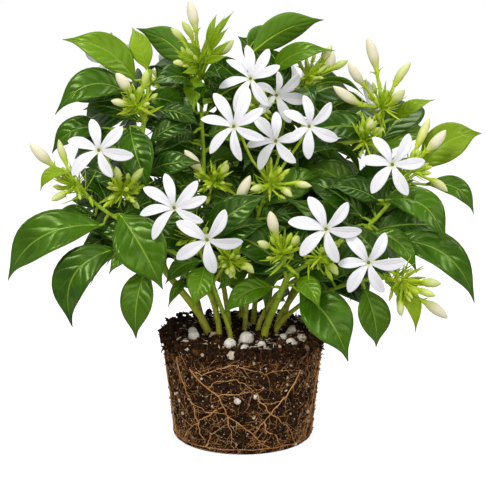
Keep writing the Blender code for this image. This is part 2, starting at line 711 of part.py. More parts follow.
class Stem:
    def __init__(self, name, foot, radii, path, shoots):
        self.name = name
        self.foot = foot
        self.radii = radii
        self.path = [Vector((foot.x, foot.y, height)) for height in (HOLE_BOTTOM, GROUND_POINT)] + path
        self.shoots = [[nearest_on(self.path, shoot[0]), *shoot[1:]] for shoot in shoots]
        self.pieces = []
        self.lines = [(self.path, tapered(len(self.path), *radii))]
        for shoot in self.shoots:
            self.lines.append((shoot, tapered(len(shoot), radii[1], radii[1] * 0.85)))

    def end(self, index):
        """The last point, direction and radius of the top (0) or of a shoot."""
        points, thickness = self.lines[index]
        return points[-1], (points[-1] - points[-2]).normalized(), thickness[-1]

    def root_near(self, place):
        """The nearest point of the stem, a little below the end of the line that it is on."""
        roots = []
        for points, _ in self.lines:
            tip = points[-1] - (points[-1] - points[-2]).normalized() * END_LEFT_FREE
            roots.append(nearest_on([*points[:-1], tip], place))
        return min(roots, key=lambda root: (root - place).length)

    def block(self):
        for points, thickness in self.lines:
            crowd.add(self.name, tube_rings(points, thickness))

    def build(self):
        (points, thickness), *others = self.lines
        base = tube(self.name, points, thickness, 6 if self.radii[0] > THICK_STEM else 4)
        pieces = [tube("shoot", path, radii, 4) for path, radii in others]
        pieces += [blade("leaf", rows, LEAF_THICKNESS) for rows in self.pieces]
        return boolean(base, pieces, "UNION")


class Bloom:
    def __init__(self, spray, centre, facing, tips):
        self.spray = spray
        self.centre = centre
        self.facing = facing
        self.tips = tips

    def rows(self):
        """For each petal, rows of two points from the throat to the tip, on its own side of each neighbour."""
        ways = [(tip - self.centre).normalized() for tip in self.tips]
        corners = [(way + ways[index - 1]).normalized() for index, way in enumerate(ways)]
        petals = []
        for index, tip in enumerate(self.tips):
            out = tip - self.centre
            way = ways[index]
            side = way.cross(self.facing)
            ends = [corners[index], corners[(index + 1) % len(corners)]]
            if (ends[1] - ends[0]).dot(side) < 0:
                ends.reverse()
            spread = [end.cross(way).length / max(end.dot(way), 0.1) * PETAL_ROOM for end in ends]
            rows = [[self.centre + end * THROAT_RADIUS for end in ends]]
            for share, width, back in PETAL_ROWS:
                middle = self.centre + out * share + self.facing * (back * out.length)
                halves = [min(PETAL_HALF_WIDTH * width, out.length * share * most) for most in spread]
                lean = self.facing * PETAL_TWIST
                rows.append([middle - (side + lean) * halves[0], middle + (side + lean) * halves[1]])
            rows.append([tip, tip])
            petals.append(rows)
        return petals

    def base(self):
        return self.centre - self.facing * TUBE_LENGTH

    def tube_line(self):
        points = [self.base(), self.centre - self.facing * 0.002, self.centre + self.facing * 0.0006]
        return points, [TUBE_RADIUS, TUBE_RADIUS * 1.15, THROAT_RADIUS]

    def rings(self, extra=0.0):
        shapes = [blade_rings(rows, self.facing, PETAL_THICKNESS / 2 + extra) for rows in self.rows()]
        points, radii = self.tube_line()
        return [*shapes, tube_rings(points, [radius + extra for radius in radii])]

    def place(self, name):
        """Moves the bloom along the line of sight until it is clear."""
        self.name = name
        sight = (self.centre - VIEWER).normalized()
        start, starts = self.centre, self.tips
        for step in range(24):
            shift = sight * (MM * 2.5 * ((step + 1) // 2) * (-1 if step % 2 else 1))
            self.centre, self.tips = start + shift, [tip + shift for tip in starts]
            if not any(crowd.hits(rings, ()) for rings in self.rings(CLEAR)):
                break
        else:
            print(name, "couldn't be cleared")
        for rings in self.rings():
            crowd.add(name, rings)

    def build(self):
        """One closed mesh: the petals' upper and lower faces, their edges and the tube."""
        bm = bmesh.new()
        lift = self.facing * (PETAL_THICKNESS / 2)
        made = {}

        def vert(place, level):
            key = (*(round(value, 6) for value in place), level)
            if key not in made:
                made[key] = bm.verts.new(place)
            return made[key]

        middle = vert(self.centre + lift - self.facing * 0.0008, "throat")
        for rows in self.rows():
            upper = [[vert(point + lift, "upper") for point in row] for row in rows]
            lower = [[vert(point - lift, "lower") for point in row] for row in rows]
            outs = [(corner - self.centre).normalized() for corner in rows[0]]
            base = [vert(self.base() + out * TUBE_RADIUS, "base") for out in outs]
            bm.faces.new([middle, *upper[0]])
            for sheet in (upper, lower):
                for (a, b), (c, d) in zip(sheet, sheet[1:]):
                    bm.faces.new([a, b, d, c] if c is not d else [a, b, d])
            for column in (0, 1):
                for above, below, next_above, next_below in zip(upper, lower, upper[1:], lower[1:]):
                    bm.faces.new([above[column], below[column], next_below[column], next_above[column]])
            bm.faces.new([lower[0][0], lower[0][1], base[1], base[0]])
        bmesh.ops.holes_fill(bm, edges=bm.edges)
        bmesh.ops.triangulate(bm, faces=bm.faces)
        bmesh.ops.recalc_face_normals(bm, faces=bm.faces)
        mesh = bpy.data.meshes.new(self.name)
        bm.to_mesh(mesh)
        bm.free()
        if closed_bodies(mesh) != 1:
            print(self.name, "isn't one closed body")
        return bpy.data.objects.new(self.name, mesh)


class Spray:
    def __init__(self, name, stem, end, centre, buds):
        self.name = name
        self.stem = stem
        start, direction, self.radius = stem.end(end)
        self.root = start + direction * GAP
        self.direction = direction
        self.centre = centre
        self.buds = buds
        self.lines = []
        self.lobes = []

    def ignore(self):
        return {self.name, self.stem.name}

    def add_line(self, points, radii, sides=4):
        self.lines.append((points, radii, sides))
        crowd.add(self.name, tube_rings(points, radii))

    def place(self, blooms):
        reach = (self.centre - self.root).length
        bend = self.root + self.direction * (reach * 0.4)
        points = [self.root, bend, self.centre]
        self.add_line(points, tapered(len(points), self.radius, PEDICEL_RADIUS * 1.2))
        self.heart = points[-1] - (points[-1] - points[-2]).normalized() * SUNK
        for bloom in blooms:
            self.hold(bloom)
        for tip, base, radius in self.buds:
            self.place_bud(tip, base, radius)

    def hold(self, bloom):
        """A pedicel to a bloom, ending in a calyx of pointed lobes round the foot of its tube."""
        end = bloom.base() - bloom.facing * GAP
        before = end - bloom.facing * 0.004
        radii = [PEDICEL_RADIUS, PEDICEL_RADIUS, PEDICEL_RADIUS, TUBE_RADIUS * 1.25]
        across = bloom.facing.orthogonal().normalized()
        best = None
        for bow in range(6):
            for eighth in range(8 if bow else 1):
                way = Matrix.Rotation(eighth * math.tau / 8, 3, bloom.facing) @ across
                middle = (self.centre + before) / 2 + way * (bow * 0.003)
                points = [self.heart, middle, before, end]
                hits = crowd.hits(tube_rings(points, [r + CLEAR for r in radii]), self.ignore() | {bloom.name})
                if best is None or hits < best[0]:
                    best = hits, points
                if not hits:
                    break
            if not best[0]:
                break
        if best[0]:
            print(self.name, "pedicel crosses", best[0])
        self.add_line(best[1], radii)
        self.add_lobes(end - bloom.facing * 0.0012, bloom.facing, 3)

    def add_lobes(self, place, axis, count):
        """Pointed calyx lobes, spread round an axis."""
        across = axis.orthogonal().normalized()
        for number in range(count):
            out = Matrix.Rotation(number * math.tau / count + 0.4, 3, axis) @ across
            way = (out * 0.85 + axis * 0.5).normalized()
            rings = tube_rings([place, place + way * LOBE_LENGTH], [LOBE_RADIUS + CLEAR, CLEAR])
            if not crowd.hits(rings, self.ignore()):
                crowd.add(self.name, tube_rings([place, place + way * LOBE_LENGTH], [LOBE_RADIUS, 0.0001]))
                self.lobes.append((place, way))

    def place_bud(self, tip, base, radius):
        long_way = tip - self.centre
        axis = long_way.normalized()
        side = axis.orthogonal().normalized()
        for turn in turns_about(axis, side, 9, 6):
            foot, end = self.centre + turn @ (base - self.centre), self.centre + turn @ long_way
            points = [self.heart, foot, foot.lerp(end, 0.62), end]
            radii = [PEDICEL_RADIUS, PEDICEL_RADIUS * 1.3, radius, 0.0004]
            if radius > SMALL_BUD * 1.3:
                points.insert(2, foot.lerp(end, 0.4))
                radii.insert(2, radius * 0.9)
            if not crowd.hits(tube_rings(points, [r + CLEAR for r in radii]), self.ignore()):
                self.add_line(points, radii, 6 if len(points) == 5 else 4)
                if len(points) == 5:
                    self.add_lobes(foot, (end - foot).normalized(), 2)
                return
        print(self.name, "left out a bud")

    def build(self):
        base, *others = self.lines
        pieces = [tube("piece", *line) for line in others]
        pieces += [spike("lobe", place, way) for place, way in self.lobes]
        return boolean(tube(self.name, *base), pieces, "UNION")


def outward(bearing):
    angle = math.radians(bearing)
    return Vector((math.sin(angle), -math.cos(angle), 0.0))


def front_stems():
    stems = []
    for name, row in STEMS.items():
        foot = Vector((row["foot"][0] * MM, -row["foot"][1] * MM, 0.0))
        path = [seen(*point) for point in row["path"]]
        shoots = [[seen(*point) for point in shoot] for shoot in row["shoots"]]
        radii = [radius * MM for radius in row["radii"]]
        stems.append(Stem("stem_" + name, foot, radii, path, shoots))
    return stems


def back_stems():
    stems = []
    for index, (bearing, reach, height, _, _) in enumerate(BACK_STEMS):
        out = outward(bearing)
        foot = out * (BACK_FOOT_RADIUS * MM)
        path = []
        for share in (0.2, 0.5, 0.8, 1.0):
            away = (BACK_FOOT_RADIUS + (reach - BACK_FOOT_RADIUS) * share**1.3) * MM
            path.append(out * away + Vector((0, 0, 0.068 + (height * MM - 0.068) * share)))
        stems.append(Stem(f"stem_back_{index + 1}", foot, [2.3 * MM, 1.1 * MM], path, []))
    return stems


def back_blooms_and_sprays(stems):
    """Each stem of the far side ends in a spray of one or two blooms and three buds."""
    rng = random.Random(23)
    sprays, blooms = [], []
    for stem, (bearing, _, _, _, count) in zip(stems, BACK_STEMS):
        top, direction, _ = stem.end(0)
        centre = top + direction * 0.009
        name = stem.name.replace("stem", "spray")
        out = outward(bearing)
        side = outward(bearing + 90)
        for number in range(count):
            sway = (number * 2 - (count - 1)) * 0.024
            facing = (out + side * rng.uniform(-0.3, 0.3) + Vector((0, 0, rng.uniform(0.1, 0.5)))).normalized()
            middle = centre + out * 0.016 + side * sway + Vector((0, 0, rng.uniform(-0.006, 0.016)))
            across = facing.orthogonal().normalized()
            spin = rng.uniform(0, 1)
            tips = [
                middle + (Matrix.Rotation(k * math.tau / 6 + spin, 3, facing) @ across) * BLOOM_RADIUS
                for k in range(6)
            ]
            blooms.append(Bloom(name, middle, facing, tips))
        buds = []
        for radius in (BIG_BUD, SMALL_BUD):
            way = side * rng.uniform(-0.8, 0.8) + out * rng.uniform(0.0, 0.5)
            way = (way + Vector((0, 0, rng.uniform(0.6, 1.0)))).normalized()
            length = 0.030 if radius == BIG_BUD else 0.015
            buds.append((centre + way * length, centre + way * length * 0.4, radius))
        sprays.append(Spray(name, stem, 0, centre, buds))
    return sprays, blooms


def front_blooms_and_sprays(stems):
    by_name = {stem.name: stem for stem in stems}
    sprays = []
    for name, (stem, end, centre, buds) in SPRAYS.items():
        placed = [(seen(*tip), seen(*base), radius) for tip, base, radius in buds]
        sprays.append(Spray("spray_" + name, by_name["stem_" + stem], end, seen(*centre), placed))
    blooms = []
    for spray, middle, (right, up), tips in BLOOMS:
        centre = seen(*middle)
        facing = Vector((right, -1.0, up)).normalized()
        placed = []
        for x, z in tips:
            ray = seen(x, z) - VIEWER
            share = (centre - VIEWER).dot(facing) / ray.dot(facing)
            placed.append(VIEWER + ray * share)
        blooms.append(Bloom("spray_" + spray, centre, facing, placed))
    return sprays, blooms


def leaf_hint(place):
    """Which way a leaf's upper face looks: to the front on the near side, outwards on the far side."""
    if place.y < 0.012:
        return Vector((place.x * 2.0, -1.0, 0.55)).normalized()
    return (Vector((place.x, place.y, 0)).normalized() + Vector((0, 0, 0.7))).normalized()


def place_front_leaves(stems):
    for stem, row in zip(stems, STEMS.values()):
        for tip, base, width in row["leaves"]:
            foot, end = seen(*base), seen(*tip)
            root = stem.root_near(foot)
            rows = place_leaf(stem.name, root, foot, end, width * MM, leaf_hint((foot + end) / 2))
            if rows:
                stem.pieces.append(rows)
            else:
                print(stem.name, "left out a leaf at", tip)


def place_back_leaves(stems):
    """Opposite pairs up each stem of the far side, each pair turned from the last."""
    rng = random.Random(31)
    for stem, (bearing, _, _, pairs, _) in zip(stems, BACK_STEMS):
        points = stem.path[3:]
        for pair in range(pairs):
            spot_share = (pair + 0.5) / pairs * (len(points) - 1.2)
            index = int(spot_share)
            root = points[index].lerp(points[index + 1], spot_share - index)
            for way in (-1, 1):
                heading = bearing + way * rng.uniform(45, 85) + (35 if pair % 2 else -35)
                rise = Vector((0, 0, rng.uniform(-0.5, 0.35)))
                axis = (outward(heading) + rise).normalized()
                length = rng.uniform(0.040, 0.060)
                base = root + axis * 0.007
                rows = place_leaf(stem.name, root, base, base + axis * length, length * rng.uniform(0.34, 0.42),
                                  (outward(bearing) * 0.5 + Vector((0, 0, 0.9))).normalized())
                if rows:
                    stem.pieces.append(rows)


def main():
    clear_scene()
    plant = new_collection("star_jasmine")
    soil = material("soil", (0.055, 0.032, 0.018), 0.95)
    root = material("root", (0.42, 0.27, 0.13), 0.8)
    leaf = material("leaf", (0.035, 0.16, 0.018), 0.35)
    fresh = material("fresh_green", (0.38, 0.48, 0.10), 0.5)
    petal = material("petal", (0.90, 0.88, 0.86), 0.6)

    near, far = front_stems(), back_stems()
    stems = near + far
    sprays, blooms = front_blooms_and_sprays(near)
    far_sprays, far_blooms = back_blooms_and_sprays(far)
    sprays += far_sprays
    blooms += far_blooms
    for stem in stems:
        stem.block()
    for number, bloom in enumerate(blooms, 1):
        bloom.place(f"bloom_{number:02d}")
    for spray in sprays:
        spray.place([bloom for bloom in blooms if bloom.spray == spray.name])
    place_front_leaves(near)
    place_back_leaves(far)

    feet = [(stem.foot, stem.radii[0]) for stem in stems]
    finish(make_root_ball(feet), plant, soil)
    finish(make_root_net(), plant, root)
    for stem in stems:
        finish(stem.build(), plant, leaf)
    for spray in sprays:
        finish(spray.build(), plant, fresh)
    for bloom in blooms:
        finish(bloom.build(), plant, petal)


main()
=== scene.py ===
import math
import random

import bmesh
import bpy
from mathutils import Matrix, Vector, noise
from mathutils.bvhtree import BVHTree


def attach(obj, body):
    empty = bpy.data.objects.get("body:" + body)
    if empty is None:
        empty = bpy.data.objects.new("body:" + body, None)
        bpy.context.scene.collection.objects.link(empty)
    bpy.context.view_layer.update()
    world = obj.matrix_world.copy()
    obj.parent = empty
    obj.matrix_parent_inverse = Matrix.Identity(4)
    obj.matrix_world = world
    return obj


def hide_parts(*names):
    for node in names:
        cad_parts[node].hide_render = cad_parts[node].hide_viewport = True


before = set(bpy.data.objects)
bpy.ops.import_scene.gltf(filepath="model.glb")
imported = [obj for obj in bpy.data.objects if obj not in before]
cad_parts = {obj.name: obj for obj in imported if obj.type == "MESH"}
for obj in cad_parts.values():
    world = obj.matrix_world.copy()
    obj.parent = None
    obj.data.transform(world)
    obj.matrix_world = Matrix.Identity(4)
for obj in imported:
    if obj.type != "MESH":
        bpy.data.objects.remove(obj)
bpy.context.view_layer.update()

mm = 0.001
scene = bpy.context.scene

# The camera stands where the plant is seen from, and looks down at it a little.
viewer = Vector((0.0, -0.75, 0.2533))
view = dict(tiltDown=0.193, focalPixels=1373.6, imageHeight=498)

camera = bpy.data.cameras.new("camera")
camera.sensor_fit = "VERTICAL"
camera.sensor_height = 36
camera.lens = view["focalPixels"] * 36 / view["imageHeight"]
cameraObject = bpy.data.objects.new("camera", camera)
cameraObject.location = viewer
cameraObject.rotation_euler = (math.pi / 2 - view["tiltDown"], 0, 0)
scene.collection.objects.link(cameraObject)
scene.camera = cameraObject

# Sizes, all in metres.
ballShape = dict(height=0.0585, baseRadius=0.039, topRadius=0.045, soilTop=0.060, stemFoot=0.050, stemGround=0.064)
rootShape = dict(radius=0.0007)
gaps = dict(touching=0.0003, passing=0.0006)
leafShape = dict(
    thickness=0.0007, stalkHalf=0.0009, shortStalk=0.009, narrow=0.0145, large=0.017,
    largeRows=(0.25, 0.54, 0.82), smallRows=(0.32, 0.72), arch=0.10, fold=0.22,
)
bloomShape = dict(
    thickness=0.0007, halfWidth=0.0039, twist=0.16, room=0.9, rows=((0.42, 0.9, 0.10), (0.80, 0.85, 0.08)),
    radius=0.0185, tubeLength=0.008, tubeRadius=0.0012, throatRadius=0.0020,
)
sprayShape = dict(pedicel=0.0008, lobeLength=0.0042, lobeRadius=0.0008, sunk=0.0016, endLeftFree=0.004)
bigBud, smallBud = 0.0033, 0.0021

# Places are millimetres as seen from the camera: x to the right, z up, then the depth towards the camera.
# A leaf is its tip, its foot and its width.
stemTable = {
    "left": dict(
        foot=(-20, 9), radii=(2.9, 1.3),
        path=[(-32, 80, 16), (-43, 94, 22), (-52, 118, 26), (-60, 142, 24), (-56, 166, 18),
              (-53, 184, 14), (-50, 206, 10)],
        shoots=[[(-54, 178, 15), (-58, 186, 22)], [(-60, 138, 25), (-65, 139, 32)]],
        leaves=[((-97, 223, 14), (-59, 200, 11), 18), ((-60, 229, 4), (-52, 206, 10), 12),
                ((-103, 183, 22), (-62, 193, 15), 18), ((-88, 185, 4), (-58, 178, 10), 11),
                ((-52, 140, 38), (-62, 175, 22), 20), ((-106, 161, 8), (-75, 174, 10), 15),
                ((-85, 115, 2), (-64, 122, 14), 14), ((-46, 150, 2), (-58, 168, 12), 14),
                ((-30, 182, 0), (-53, 190, 10), 15)],
    ),
    "left_low": dict(
        foot=(-13, 15), radii=(2.2, 1.1),
        path=[(-18, 80, 20), (-32, 100, 30), (-56, 116, 36), (-76, 128, 36), (-88, 138, 33)],
        shoots=[],
        leaves=[((-134, 90, 30), (-78, 120, 36), 24), ((-98, 62, 40), (-70, 107, 38), 22),
                ((-46, 86, 64), (-68, 126, 44), 27), ((-61, 55, 44), (-54, 96, 36), 18),
                ((-75, 93, 52), (-60, 106, 42), 8), ((-112, 139, 40), (-96, 149, 36), 7),
                ((-104, 112, 12), (-82, 126, 28), 14)],
    ),
    "centre_left": dict(
        foot=(-8, -4), radii=(2.0, 1.1),
        path=[(-12, 92, -2), (-20, 130, 2), (-22, 165, -2), (-23, 190, -4), (-24, 203, -5)],
        shoots=[[(-21, 138, 2), (-17, 143, 12)]],
        leaves=[((-57, 228, -16), (-30, 208, -12), 17), ((-27, 184, 16), (-26, 202, 0), 11),
                ((-46, 205, 4), (-27, 199, -3), 11), ((-48, 170, -14), (-23, 160, -4), 18),
                ((-2, 158, -22), (-20, 152, -4), 16), ((-44, 112, -6), (-18, 122, 0), 18),
                ((4, 196, -24), (-20, 182, -8), 16), ((-50, 190, -18), (-25, 182, -6), 18),
                ((-52, 138, -8), (-22, 142, 0), 20), ((12, 174, -12), (-19, 170, -4), 20)],
    ),
    "centre": dict(
        foot=(1, 4), radii=(1.9, 1.1),
        path=[(4, 92, 8), (6, 116, 12), (12, 138, 18)],
        shoots=[[(5, 108, 11), (-3, 119, 18)]],
        leaves=[((-12, 132, 2), (2, 104, 6), 14), ((34, 130, 6), (8, 118, 10), 18), ((30, 96, 4), (6, 92, 6), 16),
                ((-14, 84, 22), (2, 96, 10), 12), ((44, 150, 0), (11, 132, 16), 18),
                ((-24, 142, 10), (5, 122, 10), 16)],
    ),
    "right_front": dict(
        foot=(12, 17), radii=(2.8, 1.4),
        path=[(17, 72, 22), (22, 84, 28), (26, 92, 33), (36, 98, 38), (42, 101, 42)],
        shoots=[[(24, 88, 31), (23, 98, 38), (22, 103, 41)]],
        leaves=[((60, 43, 50), (32, 82, 33), 26), ((43, 73, 56), (31, 90, 38), 12),
                ((-11, 70, 36), (17, 85, 29), 14)],
    ),
    "front": dict(
        foot=(-7, 22), radii=(1.9, 1.1),
        path=[(-14, 78, 27), (-20, 96, 31), (-27, 112, 34)],
        shoots=[[(-17, 87, 29), (-9, 99, 38)]],
        leaves=[((-28, 74, 48), (-21, 97, 34), 15), ((-44, 87, 34), (-23, 100, 32), 10),
                ((-46, 78, 26), (-30, 90, 28), 6), ((0, 118, 34), (-18, 108, 32), 12),
                ((-50, 106, 18), (-23, 103, 30), 14)],
    ),
    "right": dict(
        foot=(19, -3), radii=(2.3, 1.2),
        path=[(28, 80, -4), (46, 108, -6), (62, 140, -6), (74, 166, -4), (76, 180, -2)],
        shoots=[[(70, 157, -4), (67, 165, 6)]],
        leaves=[((104, 190, 0), (82, 179, -6), 8), ((64, 116, 16), (64, 145, -2), 13),
                ((99, 115, 6), (62, 128, -4), 14), ((104, 172, -22), (76, 160, -8), 16),
                ((44, 164, -22), (64, 148, -8), 16), ((64, 88, -22), (38, 98, -10), 16),
                ((34, 132, -16), (52, 124, -6), 16), ((34, 154, -6), (62, 138, -6), 18),
                ((90, 146, -16), (64, 144, -8), 16), ((16, 112, -12), (44, 106, -6), 18)],
    ),
    "right_out": dict(
        foot=(8, 10), radii=(1.9, 1.1),
        path=[(20, 82, 12), (46, 100, 18), (68, 118, 24), (82, 134, 24), (89, 146, 20)],
        shoots=[],
        leaves=[((131, 172, -2), (99, 151, 4), 21), ((129, 127, 8), (101, 143, 10), 12),
                ((114, 109, 42), (78, 134, 28), 18), ((132, 77, 28), (80, 112, 26), 20),
                ((97, 93, 38), (72, 116, 30), 12), ((50, 74, 8), (38, 94, 16), 15),
                ((84, 90, 8), (56, 107, 20), 16)],
    ),
    "right_low": dict(
        foot=(19, 9), radii=(1.9, 1.1),
        path=[(34, 76, 16), (56, 86, 30), (74, 90, 42), (86, 89, 47)],
        shoots=[],
        leaves=[((99, 59, 52), (80, 88, 45), 10), ((76, 50, 40), (68, 84, 37), 18),
                ((30, 104, 22), (50, 88, 27), 13)],
    ),
    "top_right": dict(
        foot=(6, -12), radii=(2.1, 1.1),
        path=[(10, 104, -16), (17, 150, -20), (24, 184, -18), (32, 199, -14)],
        shoots=[
            [(20, 168, -19), (13, 178, -12), (10, 184, -6)],
            [(23, 180, -18), (10, 198, -20), (2, 213, -18)],
        ],
        leaves=[((43, 234, -14), (5, 215, -17), 19), ((16, 231, -30), (3, 216, -19), 11),
                ((48, 217, -2), (16, 203, -18), 13), ((44, 182, -24), (30, 196, -20), 13),
                ((66, 194, -14), (38, 197, -18), 10), ((58, 168, -12), (32, 190, -18), 15),
                ((42, 140, -30), (18, 150, -21), 16), ((-6, 134, -34), (13, 128, -18), 16),
                ((52, 152, -16), (19, 162, -20), 20), ((-12, 178, -30), (19, 172, -20), 18),
                ((44, 118, -26), (12, 120, -18), 18), ((-20, 110, -28), (11, 108, -16), 18)],
    ),
}

# A spray grows from a stem's top (0) or one of its shoots, and has a centre and buds: tip, foot and radius.
sprayTable = {
    "top": ("centre_left", 0, (-25, 211, -3), [
        ((-29, 243, 0), (-25, 225, 0), bigBud), ((-33, 232, 4), (-27, 222, 0), smallBud),
        ((-39, 228, -6), (-32, 221, -4), smallBud), ((-38, 210, 8), (-32, 209, 4), smallBud),
        ((-5, 222, 2), (-14, 214, 0), bigBud * 0.8)]),
    "upper_left": ("left", 1, (-59, 188, 25), [
        ((-69, 204, 30), (-61, 192, 27), bigBud), ((-72, 189, 36), (-63, 187, 31), smallBud),
        ((-52, 206, 26), (-54, 196, 26), smallBud)]),
    "far_left": ("left_low", 0, (-94, 144, 32), [
        ((-117, 166, 36), (-103, 152, 34), bigBud), ((-101, 168, 24), (-97, 154, 28), smallBud),
        ((-106, 134, 46), (-97, 139, 38), smallBud)]),
    "left": ("left", 2, (-67, 140, 37), [
        ((-70, 153, 42), (-68, 145, 39), smallBud), ((-55, 152, 46), (-61, 144, 42), smallBud)]),
    "mid_left": ("centre_left", 1, (-15, 146, 18), [
        ((-32, 162, 26), (-22, 149, 22), bigBud), ((-8, 154, 26), (-12, 149, 22), smallBud)]),
    "front": ("front", 0, (-29, 116, 37), []),
    "front_low": ("front", 1, (-6, 102, 42), [
        ((6, 93, 48), (0, 99, 45), smallBud), ((-7, 90, 48), (-6, 97, 45), smallBud)]),
    "centre_bud": ("centre", 1, (-6, 122, 22), [
        ((4, 148, 30), (-4, 130, 26), bigBud), ((6, 124, 30), (0, 122, 26), smallBud)]),
    "centre": ("centre", 0, (16, 145, 22), [
        ((4, 140, 32), (11, 142, 26), smallBud), ((27, 136, 32), (21, 141, 26), smallBud),
        ((38, 142, 32), (28, 144, 28), smallBud)]),
    "behind": ("top_right", 1, (9, 188, -3), []),
    "upper_right": ("top_right", 0, (38, 204, -11), [
        ((48, 219, -8), (43, 210, -10), smallBud * 1.2), ((57, 211, -14), (47, 206, -12), smallBud)]),
    "right_top": ("right", 0, (76, 188, 0), [
        ((67, 223, 6), (73, 203, 3), bigBud), ((57, 210, 14), (67, 196, 7), bigBud * 0.9),
        ((49, 197, 2), (66, 186, 1), bigBud), ((91, 210, -6), (82, 197, -3), smallBud * 1.2),
        ((88, 195, 12), (81, 188, 6), bigBud * 0.8)]),
    "right_mid": ("right", 1, (66, 169, 11), [((71, 179, 16), (68, 173, 13), smallBud)]),
    "right_out": ("right_out", 0, (93, 153, 18), [
        ((111, 173, 18), (99, 160, 18), bigBud), ((102, 180, 6), (95, 163, 12), smallBud * 1.2),
        ((113, 139, 26), (103, 146, 22), smallBud * 1.2)]),
    "right_front": ("right_front", 0, (46, 104, 45), [
        ((53, 92, 56), (48, 98, 50), smallBud)]),
    "low_front": ("right_front", 1, (22, 106, 43), [
        ((15, 128, 50), (19, 113, 46), bigBud), ((8, 111, 50), (15, 108, 46), smallBud),
        ((31, 114, 50), (27, 109, 46), smallBud)]),
    "right_low": ("right_low", 0, (91, 89, 49), [
        ((111, 87, 50), (99, 88, 50), smallBud * 1.2), ((108, 80, 58), (98, 84, 53), smallBud),
        ((115, 67, 48), (99, 78, 49), bigBud), ((89, 68, 56), (88, 78, 53), smallBud)]),
}

# A bloom has a spray, a centre, the way it looks (right and up) and the tips of its petals.
bloomTable = [
    ("left", (-79, 162, 50), (-0.1, 0.25),
     [(-83, 179), (-66, 175), (-60, 159), (-72, 147), (-94, 148), (-96, 167)]),
    ("behind", (4, 201, 8), (0, 0.3),
     [(2, 219), (14, 217), (20, 208), (14, 186), (-4, 182), (-13, 196), (-9, 211)]),
    ("behind", (18, 192, -4), (0.3, 0.2), [(19, 205), (31, 203), (36, 190), (26, 177), (8, 181), (7, 198)]),
    ("centre", (-5, 175, 34), (-0.2, 0.2),
     [(-16, 193), (3, 196), (11, 185), (12, 168), (-1, 156), (-18, 160), (-23, 179)]),
    ("centre", (18, 167, 22), (-0.3, 0.3), [(9, 151), (29, 155), (33, 171), (18, 183), (6, 180), (2, 164)]),
    ("centre", (36, 175, 38), (0.3, 0.1), [(48, 188), (52, 168), (36, 157), (25, 167), (22, 183), (33, 192)]),
    ("front", (-38, 130, 56), (-0.2, 0.2),
     [(-43, 149), (-25, 145), (-20, 136), (-22, 122), (-50, 112), (-57, 126), (-55, 141)]),
    ("front_low", (-20, 112, 62), (0.1, -0.1), [(-10, 129), (0, 111), (-16, 93), (-37, 101), (-37, 122)]),
    ("right_front", (46, 118, 64), (0, 0.1),
     [(36, 136), (58, 133), (66, 117), (53, 99), (32, 103), (25, 122)]),
    ("right_low", (70, 99, 66), (-0.1, 0), [(57, 115), (79, 116), (91, 100), (79, 82), (59, 82), (53, 98)]),
    ("right_out", (82, 154, 40), (0.1, 0.2),
     [(71, 169), (91, 171), (100, 156), (91, 137), (71, 138), (64, 156)]),
]

# Stems of the far side: bearing in degrees, reach and height in mm, pairs of leaves, blooms.
backStemTable = [
    (112, 68, 128, 3, 1), (146, 78, 176, 4, 2), (182, 84, 138, 4, 1), (218, 74, 186, 4, 2), (250, 64, 132, 3, 1),
]
backFootRadius = 25

# Roots on the side of the ball: bearing in degrees from the front, height in mm.
rootTable = [
    [(-41, 47), (-19, 34), (-11, 23), (7, 13), (15, 6), (22, 3.5)],
    [(-54, 52), (-51, 41), (-46, 32), (-42, 28), (-28, 24), (-12, 24)],
    [(-42, 28), (-36, 17), (-35, 11), (-31, 6)],
    [(45, 46), (36, 35), (27, 29), (21, 24), (16, 19), (8, 13)],
    [(10, 36), (13, 31), (21, 24), (31, 18), (39, 13), (46, 3.5)],
    [(-41, 47), (-31, 45), (-16, 50), (-6, 52), (4, 50), (16, 47), (30, 48), (45, 46)],
    [(-26, 38), (-20, 42), (-6, 44), (0, 42), (6, 39), (10, 36)],
    [(-19, 34), (-4, 36), (7, 37), (10, 36)],
    [(-11, 23), (-9, 14), (-9, 6), (-6, 3.5)],
    [(-15, 28), (-31, 20), (-36, 17), (-49, 10), (-56, 3.5)],
    [(-31, 3.5), (-29, 6), (-25, 11), (-10, 19)],
    [(16, 19), (18, 14), (27, 9), (32, 3.5)],
]

backRootBearings = range(76, 300, 40)

# White balls in the top (x, z, depth, size) and in the side (bearing, height, size).
perliteTable = [
    (-28, 60, 9, 5), (-27, 60, 20, 6), (2, 60, 28, 7.5), (-7, 59, 34, 6.5), (1, 58, 38, 4.6),
    (10, 59, 34, 4.6), (27, 60, 8, 5), (22, 60, 20, 4), (26, 58, 29, 6), (-10, 60, -32, 5), (14, 59, -34, 5.4),
]

sidePerliteTable = [(-4, 31.5, 4), (9, 34, 3), (130, 30, 4), (250, 22, 3.6)]


def seen(x, z, depth=0.0):
    # World place of what is seen at x, z from the front, depth mm nearer to the viewer than the axis.
    flat = Vector((x * mm, 0.0, z * mm))
    return viewer + (flat - viewer) * (1 + depth * mm / viewer.y)


def tubeRings(points, radii, sides=5):
    rings = []
    side = None
    for index, point in enumerate(points):
        before, after = points[max(index - 1, 0)], points[min(index + 1, len(points) - 1)]
        along = (after - before).normalized()
        side = (side or along.orthogonal()).cross(along).cross(along).normalized() * -1
        up = along.cross(side)
        turns = [math.tau * k / sides for k in range(sides)]
        rings.append([point + (side * math.cos(t) + up * math.sin(t)) * radii[index] for t in turns])
    return rings


def bladeRings(rows, normal, half):
    return [[p + normal * half for p in row] + [p - normal * half for p in reversed(row)] for row in rows]


